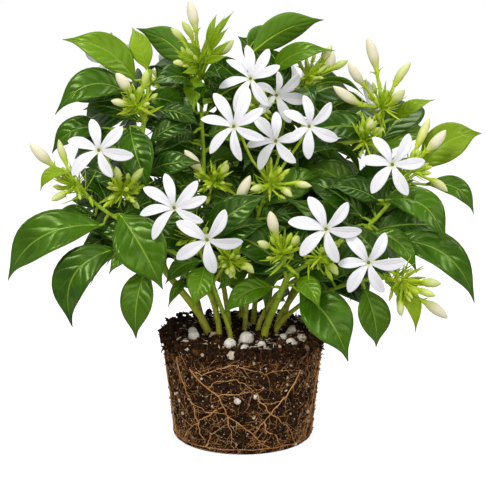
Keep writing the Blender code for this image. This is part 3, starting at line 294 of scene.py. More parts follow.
class Crowd:
    # What has been placed so far, asked whether a new shape is clear of it.
    def __init__(self):
        self.shapes = []

    @staticmethod
    def shape(rings):
        points = [point for ring in rings for point in ring]
        n = len(rings[0])
        faces = [
            (r * n + k, r * n + (k + 1) % n, (r + 1) * n + (k + 1) % n, (r + 1) * n + k)
            for r in range(len(rings) - 1)
            for k in range(n)
        ]
        faces += [tuple(range(n)), tuple(range(len(points) - n, len(points)))]
        centre = sum(points, Vector()) / len(points)
        return centre, max((p - centre).length for p in points), BVHTree.FromPolygons(points, faces)

    def add(self, owner, rings):
        self.shapes.append((owner, *self.shape(rings)))

    def hits(self, rings, ignore):
        centre, radius, tree = self.shape(rings)
        return sum(
            len(otherTree.overlap(tree))
            for owner, otherCentre, otherRadius, otherTree in self.shapes
            if owner not in ignore
            and (centre - otherCentre).length < radius + otherRadius
            and otherTree.overlap(tree)
        )


crowd = Crowd()


def nearestOn(points, place):
    # The point of a path that is nearest to a place.
    best = None
    for start, end in zip(points, points[1:]):
        run = end - start
        share = min(max((place - start).dot(run) / run.length_squared, 0.0), 1.0)
        found = start + run * share
        if best is None or (place - found).length < (place - best).length:
            best = found
    return best


def tapered(count, first, last):
    return [first + (last - first) * i / (count - 1) for i in range(count)]


def turnsAbout(axis, side, most, step):
    # No turn, then small turns about axes across a shape's own, wider and wider.
    yield Matrix.Identity(3)
    for count in range(1, most + 1):
        for eighth in (0, 4, 2, 6, 1, 3, 5, 7):
            about = Matrix.Rotation(eighth * math.tau / 8, 3, axis) @ side
            yield Matrix.Rotation(math.radians(count * step), 3, about)


def leafWidth(share):
    return math.sin(math.pi * share**0.88) ** 0.85


def leafRows(root, base, tip, width, hint):
    along = tip - base
    stations = leafShape["largeRows"] if width > leafShape["large"] else leafShape["smallRows"]
    axis = along.normalized()
    normal = (hint - axis * hint.dot(axis)).normalized()
    side = axis.cross(normal)
    rows = []
    ends = (root, base) if (base - root).length > leafShape["shortStalk"] else (root,)
    for end in ends:  # the petiole is two points wide, its last two are one
        left, right = end - side * leafShape["stalkHalf"], end + side * leafShape["stalkHalf"]
        rows.append([left, right, right])
    folded = width > leafShape["narrow"]
    for share in stations:
        middle = base + along * share + normal * (leafShape["arch"] * along.length * 4 * share * (1 - share))
        half = width / 2 * leafWidth(share)
        rise = normal * (leafShape["fold"] * half)
        left, right = middle - side * half + rise, middle + side * half + rise
        rows.append([left, middle, right] if folded else [left, right, right])
    rows.append([tip, tip, tip])
    return rows, normal


def placeLeaf(owner, root, base, tip, width, hint):
    # Bends a leaf clear of everything else, and of its own stem's leaves if it can.
    axis = (tip - base).normalized()
    side = axis.cross(hint).normalized()
    best = None
    for size in (1.0, 0.86, 0.72):
        for turn in turnsAbout(axis, side, 12, 5):
            moved = base + turn @ (tip - base) * size
            rows, normal = leafRows(root, base, moved, width * size, turn @ hint)
            rings = bladeRings(rows, normal, leafShape["thickness"] / 2 + gaps["passing"])
            if crowd.hits(rings, {owner}):
                continue
            own = crowd.hits(rings[2:], {other for other, *_ in crowd.shapes if other != owner})
            if best is None or own < best[0]:
                best = own, rows, normal, moved, width * size
            if not own:
                break
        if best:
            break
    if best is None:
        return None
    crowd.add(owner, bladeRings(best[1], best[2], leafShape["thickness"] / 2))
    return dict(root=root, base=base, tip=best[3], width=best[4], normal=best[2])


def ballRadius(height):
    base, top = ballShape["baseRadius"], ballShape["topRadius"]
    return base + (top - base) * height / ballShape["height"]


def onBall(bearing, height, lift=0.0):
    # A place on the ball's side: bearing in degrees from the front, height in mm.
    radius = ballRadius(height * mm) + lift
    angle = math.radians(bearing)
    return Vector((radius * math.sin(angle), -radius * math.cos(angle), height * mm))


class Stem:
    def __init__(self, name, foot, radii, path, shoots):
        self.name = name
        feet = [Vector((foot.x, foot.y, ballShape[level])) for level in ("stemFoot", "stemGround")]
        self.path = feet + path
        self.shoots = [[nearestOn(self.path, shoot[0]), *shoot[1:]] for shoot in shoots]
        self.pieces = []
        self.lines = [(self.path, tapered(len(self.path), *radii))]
        for shoot in self.shoots:
            self.lines.append((shoot, tapered(len(shoot), radii[1], radii[1] * 0.85)))

    def end(self, index):
        # The last point, direction and radius of the top (0) or of a shoot.
        points, thickness = self.lines[index]
        return points[-1], (points[-1] - points[-2]).normalized(), thickness[-1]

    def rootNear(self, place):
        # The nearest point of the stem, a little below the end of the line that it is on.
        roots = []
        for points, _ in self.lines:
            tip = points[-1] - (points[-1] - points[-2]).normalized() * sprayShape["endLeftFree"]
            roots.append(nearestOn([*points[:-1], tip], place))
        return min(roots, key=lambda root: (root - place).length)

    def block(self):
        for points, thickness in self.lines:
            crowd.add(self.name, tubeRings(points, thickness))


class Bloom:
    def __init__(self, spray, centre, facing, tips):
        self.spray = spray
        self.centre = centre
        self.facing = facing
        self.tips = tips

    def rows(self):
        # For each petal, rows of two points from the throat to the tip, on its own side of each neighbour.
        ways = [(tip - self.centre).normalized() for tip in self.tips]
        corners = [(way + ways[index - 1]).normalized() for index, way in enumerate(ways)]
        petals = []
        for index, tip in enumerate(self.tips):
            out = tip - self.centre
            way = ways[index]
            side = way.cross(self.facing)
            ends = [corners[index], corners[(index + 1) % len(corners)]]
            if (ends[1] - ends[0]).dot(side) < 0:
                ends.reverse()
            spread = [end.cross(way).length / max(end.dot(way), 0.1) * bloomShape["room"] for end in ends]
            rows = [[self.centre + end * bloomShape["throatRadius"] for end in ends]]
            for share, width, back in bloomShape["rows"]:
                middle = self.centre + out * share + self.facing * (back * out.length)
                halves = [min(bloomShape["halfWidth"] * width, out.length * share * most) for most in spread]
                lean = self.facing * bloomShape["twist"]
                rows.append([middle - (side + lean) * halves[0], middle + (side + lean) * halves[1]])
            rows.append([tip, tip])
            petals.append(rows)
        return petals

    def base(self):
        return self.centre - self.facing * bloomShape["tubeLength"]

    def tubeLine(self):
        points = [self.base(), self.centre - self.facing * 0.002, self.centre + self.facing * 0.0006]
        return points, [bloomShape["tubeRadius"], bloomShape["tubeRadius"] * 1.15, bloomShape["throatRadius"]]

    def rings(self, extra=0.0):
        shapes = [bladeRings(rows, self.facing, bloomShape["thickness"] / 2 + extra) for rows in self.rows()]
        points, radii = self.tubeLine()
        return [*shapes, tubeRings(points, [radius + extra for radius in radii])]

    def place(self, name):
        # Moves the bloom along the line of sight until it is clear.
        self.name = name
        sight = (self.centre - viewer).normalized()
        start, starts = self.centre, self.tips
        for step in range(24):
            shift = sight * (mm * 2.5 * ((step + 1) // 2) * (-1 if step % 2 else 1))
            self.centre, self.tips = start + shift, [tip + shift for tip in starts]
            if not any(crowd.hits(rings, ()) for rings in self.rings(gaps["passing"])):
                break
        else:
            print(name, "couldn't be cleared")
        for rings in self.rings():
            crowd.add(name, rings)


class Spray:
    def __init__(self, name, stem, end, centre, buds):
        self.name = name
        self.stem = stem
        start, direction, self.radius = stem.end(end)
        self.root = start + direction * gaps["touching"]
        self.direction = direction
        self.centre = centre
        self.buds = buds
        self.lines = []
        self.stalks = []
        self.budsPlaced = []
        self.collars = []

    def ignore(self):
        return {self.name, self.stem.name}

    def addLine(self, points, radii):
        self.lines.append((points, radii))
        crowd.add(self.name, tubeRings(points, radii))

    def place(self, blooms):
        reach = (self.centre - self.root).length
        bend = self.root + self.direction * (reach * 0.4)
        points = [self.root, bend, self.centre]
        self.addLine(points, tapered(len(points), self.radius, sprayShape["pedicel"] * 1.2))
        self.stalks.append(self.lines[-1])
        self.heart = points[-1] - (points[-1] - points[-2]).normalized() * sprayShape["sunk"]
        for bloom in blooms:
            self.hold(bloom)
        for tip, base, radius in self.buds:
            self.placeBud(tip, base, radius)

    def hold(self, bloom):
        # A pedicel to a bloom, ending in a calyx of pointed lobes round the foot of its tube.
        end = bloom.base() - bloom.facing * gaps["touching"]
        before = end - bloom.facing * 0.004
        radii = [sprayShape["pedicel"], sprayShape["pedicel"], sprayShape["pedicel"], bloomShape["tubeRadius"] * 1.25]
        across = bloom.facing.orthogonal().normalized()
        best = None
        for bow in range(6):
            for eighth in range(8 if bow else 1):
                way = Matrix.Rotation(eighth * math.tau / 8, 3, bloom.facing) @ across
                middle = (self.centre + before) / 2 + way * (bow * 0.003)
                points = [self.heart, middle, before, end]
                hits = crowd.hits(tubeRings(points, [r + gaps["passing"] for r in radii]), self.ignore() | {bloom.name})
                if best is None or hits < best[0]:
                    best = hits, points
                if not hits:
                    break
            if not best[0]:
                break
        if best[0]:
            print(self.name, "pedicel crosses", best[0])
        self.addLine(best[1], radii)
        self.stalks.append(self.lines[-1])
        self.collars.append((end, bloom.facing))
        self.addLobes(end - bloom.facing * 0.0012, bloom.facing, 3)

    def addLobes(self, place, axis, count):
        # Pointed calyx lobes, spread round an axis.
        across = axis.orthogonal().normalized()
        for number in range(count):
            out = Matrix.Rotation(number * math.tau / count + 0.4, 3, axis) @ across
            way = (out * 0.85 + axis * 0.5).normalized()
            line, foot = [place, place + way * sprayShape["lobeLength"]], sprayShape["lobeRadius"]
            if not crowd.hits(tubeRings(line, [foot + gaps["passing"], gaps["passing"]]), self.ignore()):
                crowd.add(self.name, tubeRings(line, [foot, 0.0001]))

    def placeBud(self, tip, base, radius):
        longWay = tip - self.centre
        axis = longWay.normalized()
        side = axis.orthogonal().normalized()
        for turn in turnsAbout(axis, side, 9, 6):
            foot, end = self.centre + turn @ (base - self.centre), self.centre + turn @ longWay
            points = [self.heart, foot, foot.lerp(end, 0.62), end]
            radii = [sprayShape["pedicel"], sprayShape["pedicel"] * 1.3, radius, 0.0004]
            if radius > smallBud * 1.3:
                points.insert(2, foot.lerp(end, 0.4))
                radii.insert(2, radius * 0.9)
            if not crowd.hits(tubeRings(points, [r + gaps["passing"] for r in radii]), self.ignore()):
                self.addLine(points, radii)
                self.budsPlaced.append((foot, end, radius))
                if len(points) == 5:
                    self.addLobes(foot, (end - foot).normalized(), 2)
                return
        print(self.name, "left out a bud")


def outward(bearing):
    angle = math.radians(bearing)
    return Vector((math.sin(angle), -math.cos(angle), 0.0))


def leaning(bearing, rise):
    # A direction outwards at a bearing, leaning up by rise.
    return (outward(bearing) + Vector((0, 0, rise))).normalized()


def anyWay(rng):
    return Vector([rng.uniform(-1, 1) for _ in range(3)])


def frontStems():
    stems = []
    for name, row in stemTable.items():
        foot = Vector((row["foot"][0] * mm, -row["foot"][1] * mm, 0.0))
        path = [seen(*point) for point in row["path"]]
        shoots = [[seen(*point) for point in shoot] for shoot in row["shoots"]]
        radii = [radius * mm for radius in row["radii"]]
        stems.append(Stem("stem_" + name, foot, radii, path, shoots))
    return stems


def backStems():
    stems = []
    for index, (bearing, reach, height, _, _) in enumerate(backStemTable):
        out = outward(bearing)
        foot = out * (backFootRadius * mm)
        path = []
        for share in (0.2, 0.5, 0.8, 1.0):
            away = (backFootRadius + (reach - backFootRadius) * share**1.3) * mm
            path.append(out * away + Vector((0, 0, 0.068 + (height * mm - 0.068) * share)))
        stems.append(Stem(f"stem_back_{index + 1}", foot, [2.3 * mm, 1.1 * mm], path, []))
    return stems


def backBloomsAndSprays(stems):
    # Each stem of the far side ends in a spray of one or two blooms and two buds.
    rng = random.Random(23)
    sprays, blooms = [], []
    for stem, (bearing, _, _, _, count) in zip(stems, backStemTable):
        top, direction, _ = stem.end(0)
        centre = top + direction * 0.009
        name = stem.name.replace("stem", "spray")
        out = outward(bearing)
        side = outward(bearing + 90)
        for number in range(count):
            sway = (number * 2 - (count - 1)) * 0.024
            facing = (out + side * rng.uniform(-0.3, 0.3) + Vector((0, 0, rng.uniform(0.1, 0.5)))).normalized()
            middle = centre + out * 0.016 + side * sway + Vector((0, 0, rng.uniform(-0.006, 0.016)))
            across = facing.orthogonal().normalized()
            spin = rng.uniform(0, 1)
            tips = [
                middle + (Matrix.Rotation(k * math.tau / 6 + spin, 3, facing) @ across) * bloomShape["radius"]
                for k in range(6)
            ]
            blooms.append(Bloom(name, middle, facing, tips))
        buds = []
        for radius in (bigBud, smallBud):
            way = side * rng.uniform(-0.8, 0.8) + out * rng.uniform(0.0, 0.5)
            way = (way + Vector((0, 0, rng.uniform(0.6, 1.0)))).normalized()
            length = 0.030 if radius == bigBud else 0.015
            buds.append((centre + way * length, centre + way * length * 0.4, radius))
        sprays.append(Spray(name, stem, 0, centre, buds))
    return sprays, blooms


def frontBloomsAndSprays(stems):
    byName = {stem.name: stem for stem in stems}
    sprays = []
    for name, (stem, end, centre, buds) in sprayTable.items():
        placed = [(seen(*tip), seen(*base), radius) for tip, base, radius in buds]
        sprays.append(Spray("spray_" + name, byName["stem_" + stem], end, seen(*centre), placed))
    blooms = []
    for spray, middle, (right, up), tips in bloomTable:
        centre = seen(*middle)
        facing = Vector((right, -1.0, up)).normalized()
        placed = []
        for x, z in tips:
            ray = seen(x, z) - viewer
            share = (centre - viewer).dot(facing) / ray.dot(facing)
            placed.append(viewer + ray * share)
        blooms.append(Bloom("spray_" + spray, centre, facing, placed))
    return sprays, blooms


def leafHint(place):
    # Which way a leaf's upper face looks: to the front on the near side, outwards on the far side.
    if place.y < 0.012:
        return Vector((place.x * 2.0, -1.0, 0.55)).normalized()
    return (Vector((place.x, place.y, 0)).normalized() + Vector((0, 0, 0.7))).normalized()


def placeFrontLeaves(stems):
    for stem, row in zip(stems, stemTable.values()):
        touches = leafTouches.get(stem.name.removeprefix("stem_"), {})
        for number, (tip, base, width) in enumerate(row["leaves"]):
            foot, end = seen(*base), seen(*tip)
            root = stem.rootNear(foot)
            leaf = placeLeaf(stem.name, root, foot, end, width * mm, leafHint((foot + end) / 2))
            if leaf:
                if number in touches:
                    leaf["shade"], leaf["bow"] = touches[number]
                stem.pieces.append(leaf)


def placeBackLeaves(stems):
    # Opposite pairs up each stem of the far side, each pair turned from the last.
    rng = random.Random(31)
    for stem, (bearing, _, _, pairs, _) in zip(stems, backStemTable):
        points = stem.path[3:]
        for pair in range(pairs):
            spotShare = (pair + 0.5) / pairs * (len(points) - 1.2)
            index = int(spotShare)
            root = points[index].lerp(points[index + 1], spotShare - index)
            for way in (-1, 1):
                heading = bearing + way * rng.uniform(45, 85) + (35 if pair % 2 else -35)
                axis = leaning(heading, rng.uniform(-0.5, 0.35))
                length = rng.uniform(0.040, 0.060)
                base = root + axis * 0.007
                leaf = placeLeaf(stem.name, root, base, base + axis * length, length * rng.uniform(0.34, 0.42),
                                 (outward(bearing) * 0.5 + Vector((0, 0, 0.9))).normalized())
                if leaf:
                    stem.pieces.append(leaf)


fillLeaves = dict(
    perStem=34, shortest=0.022, longest=0.046, slimness=0.42, stalk=0.006, lowest=0.14, highest=0.97,
    widest=0.098, nearest=-0.030, top=0.212, frontFloor=0.094, backFloor=0.074, frontEdge=0.03, seed=47,
)


def placeFillLeaves(stems):
    # Shaded leaves inside the plant, wherever there is room between the others.
    rng = random.Random(fillLeaves["seed"])
    count = 0
    for stem in stems:
        points = stem.path[1:]
        for _ in range(fillLeaves["perStem"]):
            share = rng.uniform(fillLeaves["lowest"], fillLeaves["highest"]) * (len(points) - 1)
            index = min(int(share), len(points) - 2)
            root = points[index].lerp(points[index + 1], share - index)
            axis = leaning(rng.uniform(0, 360), rng.uniform(-0.4, 0.7))
            length = rng.uniform(fillLeaves["shortest"], fillLeaves["longest"])
            base = root + axis * fillLeaves["stalk"]
            tip = base + axis * length
            floorHere = fillLeaves["frontFloor" if tip.y < fillLeaves["frontEdge"] else "backFloor"]
            outside = abs(tip.x) > fillLeaves["widest"] or tip.y < fillLeaves["nearest"] or tip.z > fillLeaves["top"]
            if outside or min(base.z, tip.z) < floorHere:
                continue
            leaf = placeLeaf(stem.name, root, base, tip, length * fillLeaves["slimness"], leafHint(tip))
            if leaf:
                # deep paints the leaf the darkest green: painted shade inside the plant.
                leaf["shade"] = "deep"
                stem.pieces.append(leaf)
                count += 1
    print("fill leaves:", count)


screenLeaves = dict(
    centre=(4, 143), reach=(98, 70), step=7,  # the part of the plant that is looked through, in mm from the front
    tries=14, wander=2, nearest=8, farthest=-45,
    shortest=0.020, longest=0.046, slimness=0.52, stalk=0.006, widest=0.112, seed=61,
)


def seenThrough(x, z):
    # Whether nothing placed so far stands on the line of sight.
    way = (seen(x, z) - viewer).normalized()
    for _, centre, radius, tree in crowd.shapes:
        if (centre - viewer).cross(way).length < radius and tree.ray_cast(viewer, way, 1.2)[0]:
            return False
    return True


def screenLeaf(stems, x, z, rng):
    # A shaded leaf from the nearest stem to a place on the line of sight, if there is room for one.
    wander, stalk = screenLeaves["wander"], screenLeaves["stalk"]
    for _ in range(screenLeaves["tries"]):
        target = seen(x + rng.uniform(-wander, wander), z + rng.uniform(-wander, wander),
                      rng.uniform(screenLeaves["farthest"], screenLeaves["nearest"]))
        stem = min(stems, key=lambda one: min((point - target).length for point in one.path[1:]))
        root = min(stem.path[1:], key=lambda point: (point - target).length + 0.3 * abs(point.z - target.z))
        reach = (target - root).length
        if not 0.010 < reach < 0.056:
            continue
        axis = (target - root).normalized()
        length = max(screenLeaves["shortest"], min(screenLeaves["longest"], (reach - stalk) / 0.55))
        tip = root + axis * (stalk + length)
        if tip.z > target.z + 0.008 or abs(tip.x) > screenLeaves["widest"]:
            continue
        hint = ((viewer - target).normalized() + Vector((0, 0, 0.35))).normalized()
        leaf = placeLeaf(stem.name, root, root + axis * stalk, tip, length * screenLeaves["slimness"], hint)
        if leaf:
            # deep paints the leaf the darkest green: painted shade inside the plant.
            leaf["shade"] = "deep"
            stem.pieces.append(leaf)
            return True
    return False


def placeScreens(stems):
    rng = random.Random(screenLeaves["seed"])
    (middle, height), (wide, tall), step = screenLeaves["centre"], screenLeaves["reach"], screenLeaves["step"]
    openPlaces, count = 0, 0
    for z in range(height - tall, height + tall + 1, step):
        for x in range(middle - wide, middle + wide + 1, step):
            if math.hypot((x - middle) / wide, (z - height) / tall) <= 1 and seenThrough(x, z):
                openPlaces += 1
                count += screenLeaf(stems, x, z, rng)
    print("screen leaves:", count, "for", openPlaces, "places that could be seen through")


# Young leaf shoots, each leaf as seen from the front: its foot, its tip and its width.
youngShoots = dict(
    centre_left=[((-19, 219, 0), (-5, 237, 2), 3.8), ((-18, 217, 2), (-10, 234, 6), 3.6),
                 ((-17, 216, 3), (-8, 228, 8), 3.8), ((-20, 219, 0), (-14, 236, -4), 3.6),
                 ((-18, 212, 2), (-7, 221, 8), 4.0), ((-23, 214, 4), (-31, 221, 8), 4.2),
                 ((-20, 210, 4), (-9, 213, 12), 4.6), ((-26, 210, 4), (-37, 216, 8), 4.4),
                 ((-24, 206, 4), (-33, 204, 12), 4.6)],
)

# Shaded leaves behind the topmost blooms, in the same form.
behindBlooms = dict(
    centre_left=[((-6, 190, -14), (-24, 204, -12), 13), ((2, 196, -20), (-19, 214, -22), 15)],
    top_right=[((14, 205, -24), (-3, 224, -28), 14), ((28, 192, -20), (38, 178, -14), 11)],
)


def placeShoots(stems):
    for stem in stems:
        label = stem.name.removeprefix("stem_")
        rows = [(*row, "young") for row in youngShoots.get(label, [])]
        # dark paints these leaves as in shade behind the blooms.
        rows += [(*row, "dark") for row in behindBlooms.get(label, [])]
        for foot, end, width, shade in rows:
            base, tip = seen(*foot), seen(*end)
            axis = (tip - base).normalized()
            hint = (viewer - base).normalized()
            normal = (hint - axis * hint.dot(axis)).normalized()
            stem.pieces.append(dict(root=stem.rootNear(base), base=base, tip=tip, width=width * mm,
                                    normal=normal, shade=shade))


# Node trees for the shapes that follow a path or repeat over a surface.


def put(tree, kind, inputs=None, **settings):
    made = tree.nodes.new(kind)
    for key, value in settings.items():
        setattr(made, key, value)
    for key, value in (inputs or {}).items():
        socket = made.inputs[key]
        if isinstance(value, bpy.types.NodeSocket):
            tree.links.new(value, socket)
        else:
            socket.default_value = value
    return made


def calc(tree, operation, first, second=0.0, third=0.0):
    return put(tree, "ShaderNodeMath", {0: first, 1: second, 2: third}, operation=operation).outputs[0]


def times(tree, first, second):
    return calc(tree, "MULTIPLY", first, second)


def vectorCalc(tree, operation, first, second=None, scale=None):
    inputs = {0: first}
    if second is not None:
        inputs[1] = second
    if scale is not None:
        inputs["Scale"] = scale
    made = put(tree, "ShaderNodeVectorMath", inputs, operation=operation)
    return made.outputs["Value" if operation == "DOT_PRODUCT" else "Vector"]


def newTree(name, inputs):
    tree = bpy.data.node_groups.new(name, "GeometryNodeTree")
    tree.interface.new_socket("Geometry", in_out="INPUT", socket_type="NodeSocketGeometry")
    for label, value in inputs.items():
        kind = {int: "NodeSocketInt", float: "NodeSocketFloat", type(None): "NodeSocketMaterial"}[type(value)]
        socket = tree.interface.new_socket(label, in_out="INPUT", socket_type=kind)
        if value is not None:
            socket.default_value = value
    tree.interface.new_socket("Geometry", in_out="OUTPUT", socket_type="NodeSocketGeometry")
    return tree, tree.nodes.new("NodeGroupInput").outputs, tree.nodes.new("NodeGroupOutput").inputs[0]


def stored(tree, name, kind="FLOAT"):
    return put(tree, "GeometryNodeInputNamedAttribute", {"Name": name}, data_type=kind).outputs[0]


def marked(tree, shape, name, value, domain="POINT"):
    return put(tree, "GeometryNodeStoreNamedAttribute", {0: shape, "Name": name, "Value": value},
               data_type="FLOAT", domain=domain).outputs[0]


def makeSweepTree():
    # Sweeps an oval over each spine: a round bar, or a thin blade that folds along its middle.
    tree, given, end = newTree("sweepAlongSpine", {
        "Rows": 12, "Sides": 8, "Roundness": 1.0, "Thickness": 0.0, "Fold": 0.0, "Ripple": 0.0, "Ripples": 2.0,
        "Lumps": 0.0, "Material": None})
    curve = put(tree, "GeometryNodeMeshToCurve", {0: given["Geometry"]}).outputs[0]
    curve = put(tree, "GeometryNodeCurveSplineType", {0: curve}, spline_type="CATMULL_ROM").outputs[0]
    curve = put(tree, "GeometryNodeResampleCurve", {0: curve, "Count": given["Rows"]}, mode="COUNT").outputs[0]
    face = stored(tree, "face", "FLOAT_VECTOR")
    tangent = put(tree, "GeometryNodeInputTangent").outputs[0]
    lean = vectorCalc(tree, "SCALE", tangent, scale=vectorCalc(tree, "DOT_PRODUCT", face, tangent))
    upright = vectorCalc(tree, "NORMALIZE", vectorCalc(tree, "SUBTRACT", face, lean))
    curve = put(tree, "GeometryNodeSetCurveNormal", {0: curve, "Normal": upright}, mode="FREE").outputs[0]

    oval = put(tree, "GeometryNodeCurvePrimitiveCircle", {0: given["Sides"], "Radius": 1.0},
               mode="RADIUS").outputs[0]
    spot = put(tree, "ShaderNodeSeparateXYZ", {0: put(tree, "GeometryNodeInputPosition").outputs[0]}).outputs
    oval = marked(tree, oval, "sheet", spot[0])
    oval = marked(tree, oval, "across", spot[1])
    rise = times(tree, calc(tree, "POWER", calc(tree, "ABSOLUTE", spot[1]), 1.3), given["Fold"])
    rise = calc(tree, "ADD", times(tree, spot[0], given["Roundness"]), rise)
    place = put(tree, "ShaderNodeCombineXYZ", {0: rise, 1: spot[1]}).outputs[0]
    oval = put(tree, "GeometryNodeSetPosition", {0: oval, "Position": place}).outputs[0]
    body = put(tree, "GeometryNodeCurveToMesh",
               {"Curve": curve, "Profile Curve": oval, "Scale": stored(tree, "half"), "Fill Caps": True}).outputs[0]

    across = calc(tree, "ABSOLUTE", stored(tree, "across"))
    start = times(tree, stored(tree, "tone"), 7.0)
    wave = calc(tree, "MULTIPLY_ADD", stored(tree, "along"), given["Ripples"], start)
    wave = calc(tree, "ADD", wave, times(tree, stored(tree, "across"), 0.4))
    wave = calc(tree, "SINE", times(tree, wave, math.tau))
    wave = times(tree, wave, calc(tree, "POWER", across, 1.6))
    wave = times(tree, times(tree, wave, stored(tree, "half")), given["Ripple"])
    depth = times(tree, stored(tree, "sheet"), times(tree, given["Thickness"], 0.5))
    shift = vectorCalc(tree, "SCALE", stored(tree, "face", "FLOAT_VECTOR"), scale=calc(tree, "ADD", wave, depth))
    body = put(tree, "GeometryNodeSetPosition", {0: body, "Offset": shift}).outputs[0]
    grain = put(tree, "ShaderNodeTexNoise", {"Scale": 420.0, "Detail": 2.0}).outputs[0]
    bulge = times(tree, calc(tree, "SUBTRACT", grain, 0.5), given["Lumps"])
    shift = vectorCalc(tree, "SCALE", put(tree, "GeometryNodeInputNormal").outputs[0], scale=bulge)
    body = put(tree, "GeometryNodeSetPosition", {0: body, "Offset": shift}).outputs[0]
    body = put(tree, "GeometryNodeSetShadeSmooth", {0: body}).outputs[0]
    body = put(tree, "GeometryNodeSetMaterial", {0: body, "Material": given["Material"]}).outputs[0]
    tree.links.new(body, end)
    return tree


def makeScatterTree():
    # Scatters small angular lumps over a surface, half sunk in it.
    tree, given, end = newTree("scatterOverSurface", {
        "Density": 1000.0, "Smallest": 0.0005, "Largest": 0.001, "Slimness": 0.6, "Lowest": 0.0, "Highest": 1.0,
        "Seed": 1, "Material": None})
    height = put(tree, "ShaderNodeSeparateXYZ", {0: put(tree, "GeometryNodeInputPosition").outputs[0]}).outputs[2]
    inside = times(tree, calc(tree, "GREATER_THAN", height, given["Lowest"]),
                  calc(tree, "LESS_THAN", height, given["Highest"]))
    density = times(tree, given["Density"], inside)
    spread = put(tree, "GeometryNodeDistributePointsOnFaces",
                 {0: given["Geometry"], "Density": density, "Seed": given["Seed"]})
    lump = put(tree, "GeometryNodeMeshIcoSphere", {"Radius": 1.0, "Subdivisions": 1}).outputs[0]

    def chance(low, high, seed, kind="FLOAT"):
        made = put(tree, "FunctionNodeRandomValue", {"Seed": seed}, data_type=kind)
        base = {"FLOAT": 2, "FLOAT_VECTOR": 0}[kind]
        for index, value in ((base, low), (base + 1, high)):
            if isinstance(value, bpy.types.NodeSocket):
                tree.links.new(value, made.inputs[index])
            else:
                made.inputs[index].default_value = value
        return made.outputs[{"FLOAT": 1, "FLOAT_VECTOR": 0}[kind]]

    size = chance(given["Smallest"], given["Largest"], 3)
    slim = chance(given["Slimness"], 1.0, 4)
    stretch = put(tree, "ShaderNodeCombineXYZ", {0: size, 1: times(tree, size, slim),
                                                 2: times(tree, size, chance(0.5, 1.2, 6))}).outputs[0]
    angles = chance((0, 0, 0), (6.28, 6.28, 6.28), 5, "FLOAT_VECTOR")
    turn = put(tree, "FunctionNodeEulerToRotation", {0: angles}).outputs[0]
    copies = put(tree, "GeometryNodeInstanceOnPoints",
                 {"Points": spread.outputs[0], "Instance": lump, "Rotation": turn, "Scale": stretch}).outputs[0]
    copies = marked(tree, copies, "tone", chance(0.0, 1.0, 8), "INSTANCE")
    body = put(tree, "GeometryNodeRealizeInstances", {0: copies}).outputs[0]
    body = put(tree, "GeometryNodeSetMaterial", {0: body, "Material": given["Material"]}).outputs[0]
    tree.links.new(body, end)
    return tree


def treeMesh(name, source, tree, values):
    # The plain mesh that a node tree makes of an object.
    build = source.modifiers.new("build", "NODES")
    build.node_group = tree
    for item in tree.interface.items_tree:
        if item.item_type == "SOCKET" and item.in_out == "INPUT" and item.name in values:
            build[item.identifier] = values[item.name]
    graph = bpy.context.evaluated_depsgraph_get()
    mesh = bpy.data.meshes.new_from_object(source.evaluated_get(graph))
    source.modifiers.remove(build)
    mesh.name = name
    return mesh


def carried(points, first, twist=0.0):
    # A direction across a path, carried along it and turned by twist from end to end.
    faces = []
    face = first
    for index, point in enumerate(points):
        before, after = points[max(index - 1, 0)], points[min(index + 1, len(points) - 1)]
        tangent = (after - before).normalized()
        face = (face - tangent * face.dot(tangent)).normalized()
        faces.append(Matrix.Rotation(twist * index / (len(points) - 1), 3, tangent) @ face)
    return faces


def strand(points, halves, face=None, faces=None, tone=0.5, kind=0.0, twist=0.0, ends=(0.0, 1.0)):
    if faces is None:
        if face is None:
            face = (points[1] - points[0]).orthogonal().normalized()
        faces = carried(points, face, twist)
    far = [0.0]
    for start, finish in zip(points, points[1:]):
        far.append(far[-1] + (finish - start).length)
    along = [ends[0] + (ends[1] - ends[0]) * value / far[-1] for value in far]
    return dict(points=points, halves=halves, faces=faces, along=along, tone=tone, kind=kind)


sweepTree = makeSweepTree()
scatterTree = makeScatterTree()


def swept(name, strands, **values):
    # One object with every strand of a kind, as plain closed meshes.
    mesh = bpy.data.meshes.new(name)
    places, edges = [], []
    columns = dict(half=[], along=[], tone=[], kind=[], face=[])
    for one in strands:
        first = len(places)
        count = len(one["points"])
        places += [tuple(point) for point in one["points"]]
        edges += [(first + k, first + k + 1) for k in range(count - 1)]
        columns["half"] += one["halves"]
        columns["along"] += one["along"]
        columns["tone"] += [one["tone"]] * count
        columns["kind"] += [one["kind"]] * count
        columns["face"] += [value for face in one["faces"] for value in face]
    mesh.from_pydata(places, edges, [])
    for label, numbers in columns.items():
        wide = label == "face"
        attribute = mesh.attributes.new(label, "FLOAT_VECTOR" if wide else "FLOAT", "POINT")
        attribute.data.foreach_set("vector" if wide else "value", numbers)
    spine = bpy.data.objects.new(name + "Spine", mesh)
    scene.collection.objects.link(spine)
    made = treeMesh(name, spine, sweepTree, values)
    bpy.data.objects.remove(spine, do_unlink=True)
    return made


def capitals(name):
    # stem_top_right becomes TopRight.
    return "".join(word.capitalize() for word in name.split("_")[1:])


def meshOf(name, bm, material, smooth=False):
    mesh = bpy.data.meshes.new(name)
    bm.to_mesh(mesh)
    bm.free()
    if smooth:
        mesh.shade_smooth()
    mesh.materials.append(materials[material])
    return mesh


def pieceOf(name, meshes, nodes):
    # Joins meshes of one material into a piece that stands for CAD nodes.
    bm = bmesh.new()
    for mesh in meshes:
        bm.from_mesh(mesh)
    bmesh.ops.recalc_face_normals(bm, faces=bm.faces)
    whole = bpy.data.meshes.new(name)
    bm.to_mesh(whole)
    bm.free()
    for slotMaterial in meshes[0].materials:
        whole.materials.append(slotMaterial)
    piece = bpy.data.objects.new(name, whole)
    scene.collection.objects.link(piece)
    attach(piece, "root")
    if nodes:
        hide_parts(*nodes)
    return piece


# Finishes.


def newMaterial(name):
    made = bpy.data.materials.new(name)
    made.use_nodes = True
    return made, made.node_tree, made.node_tree.nodes["Principled BSDF"]


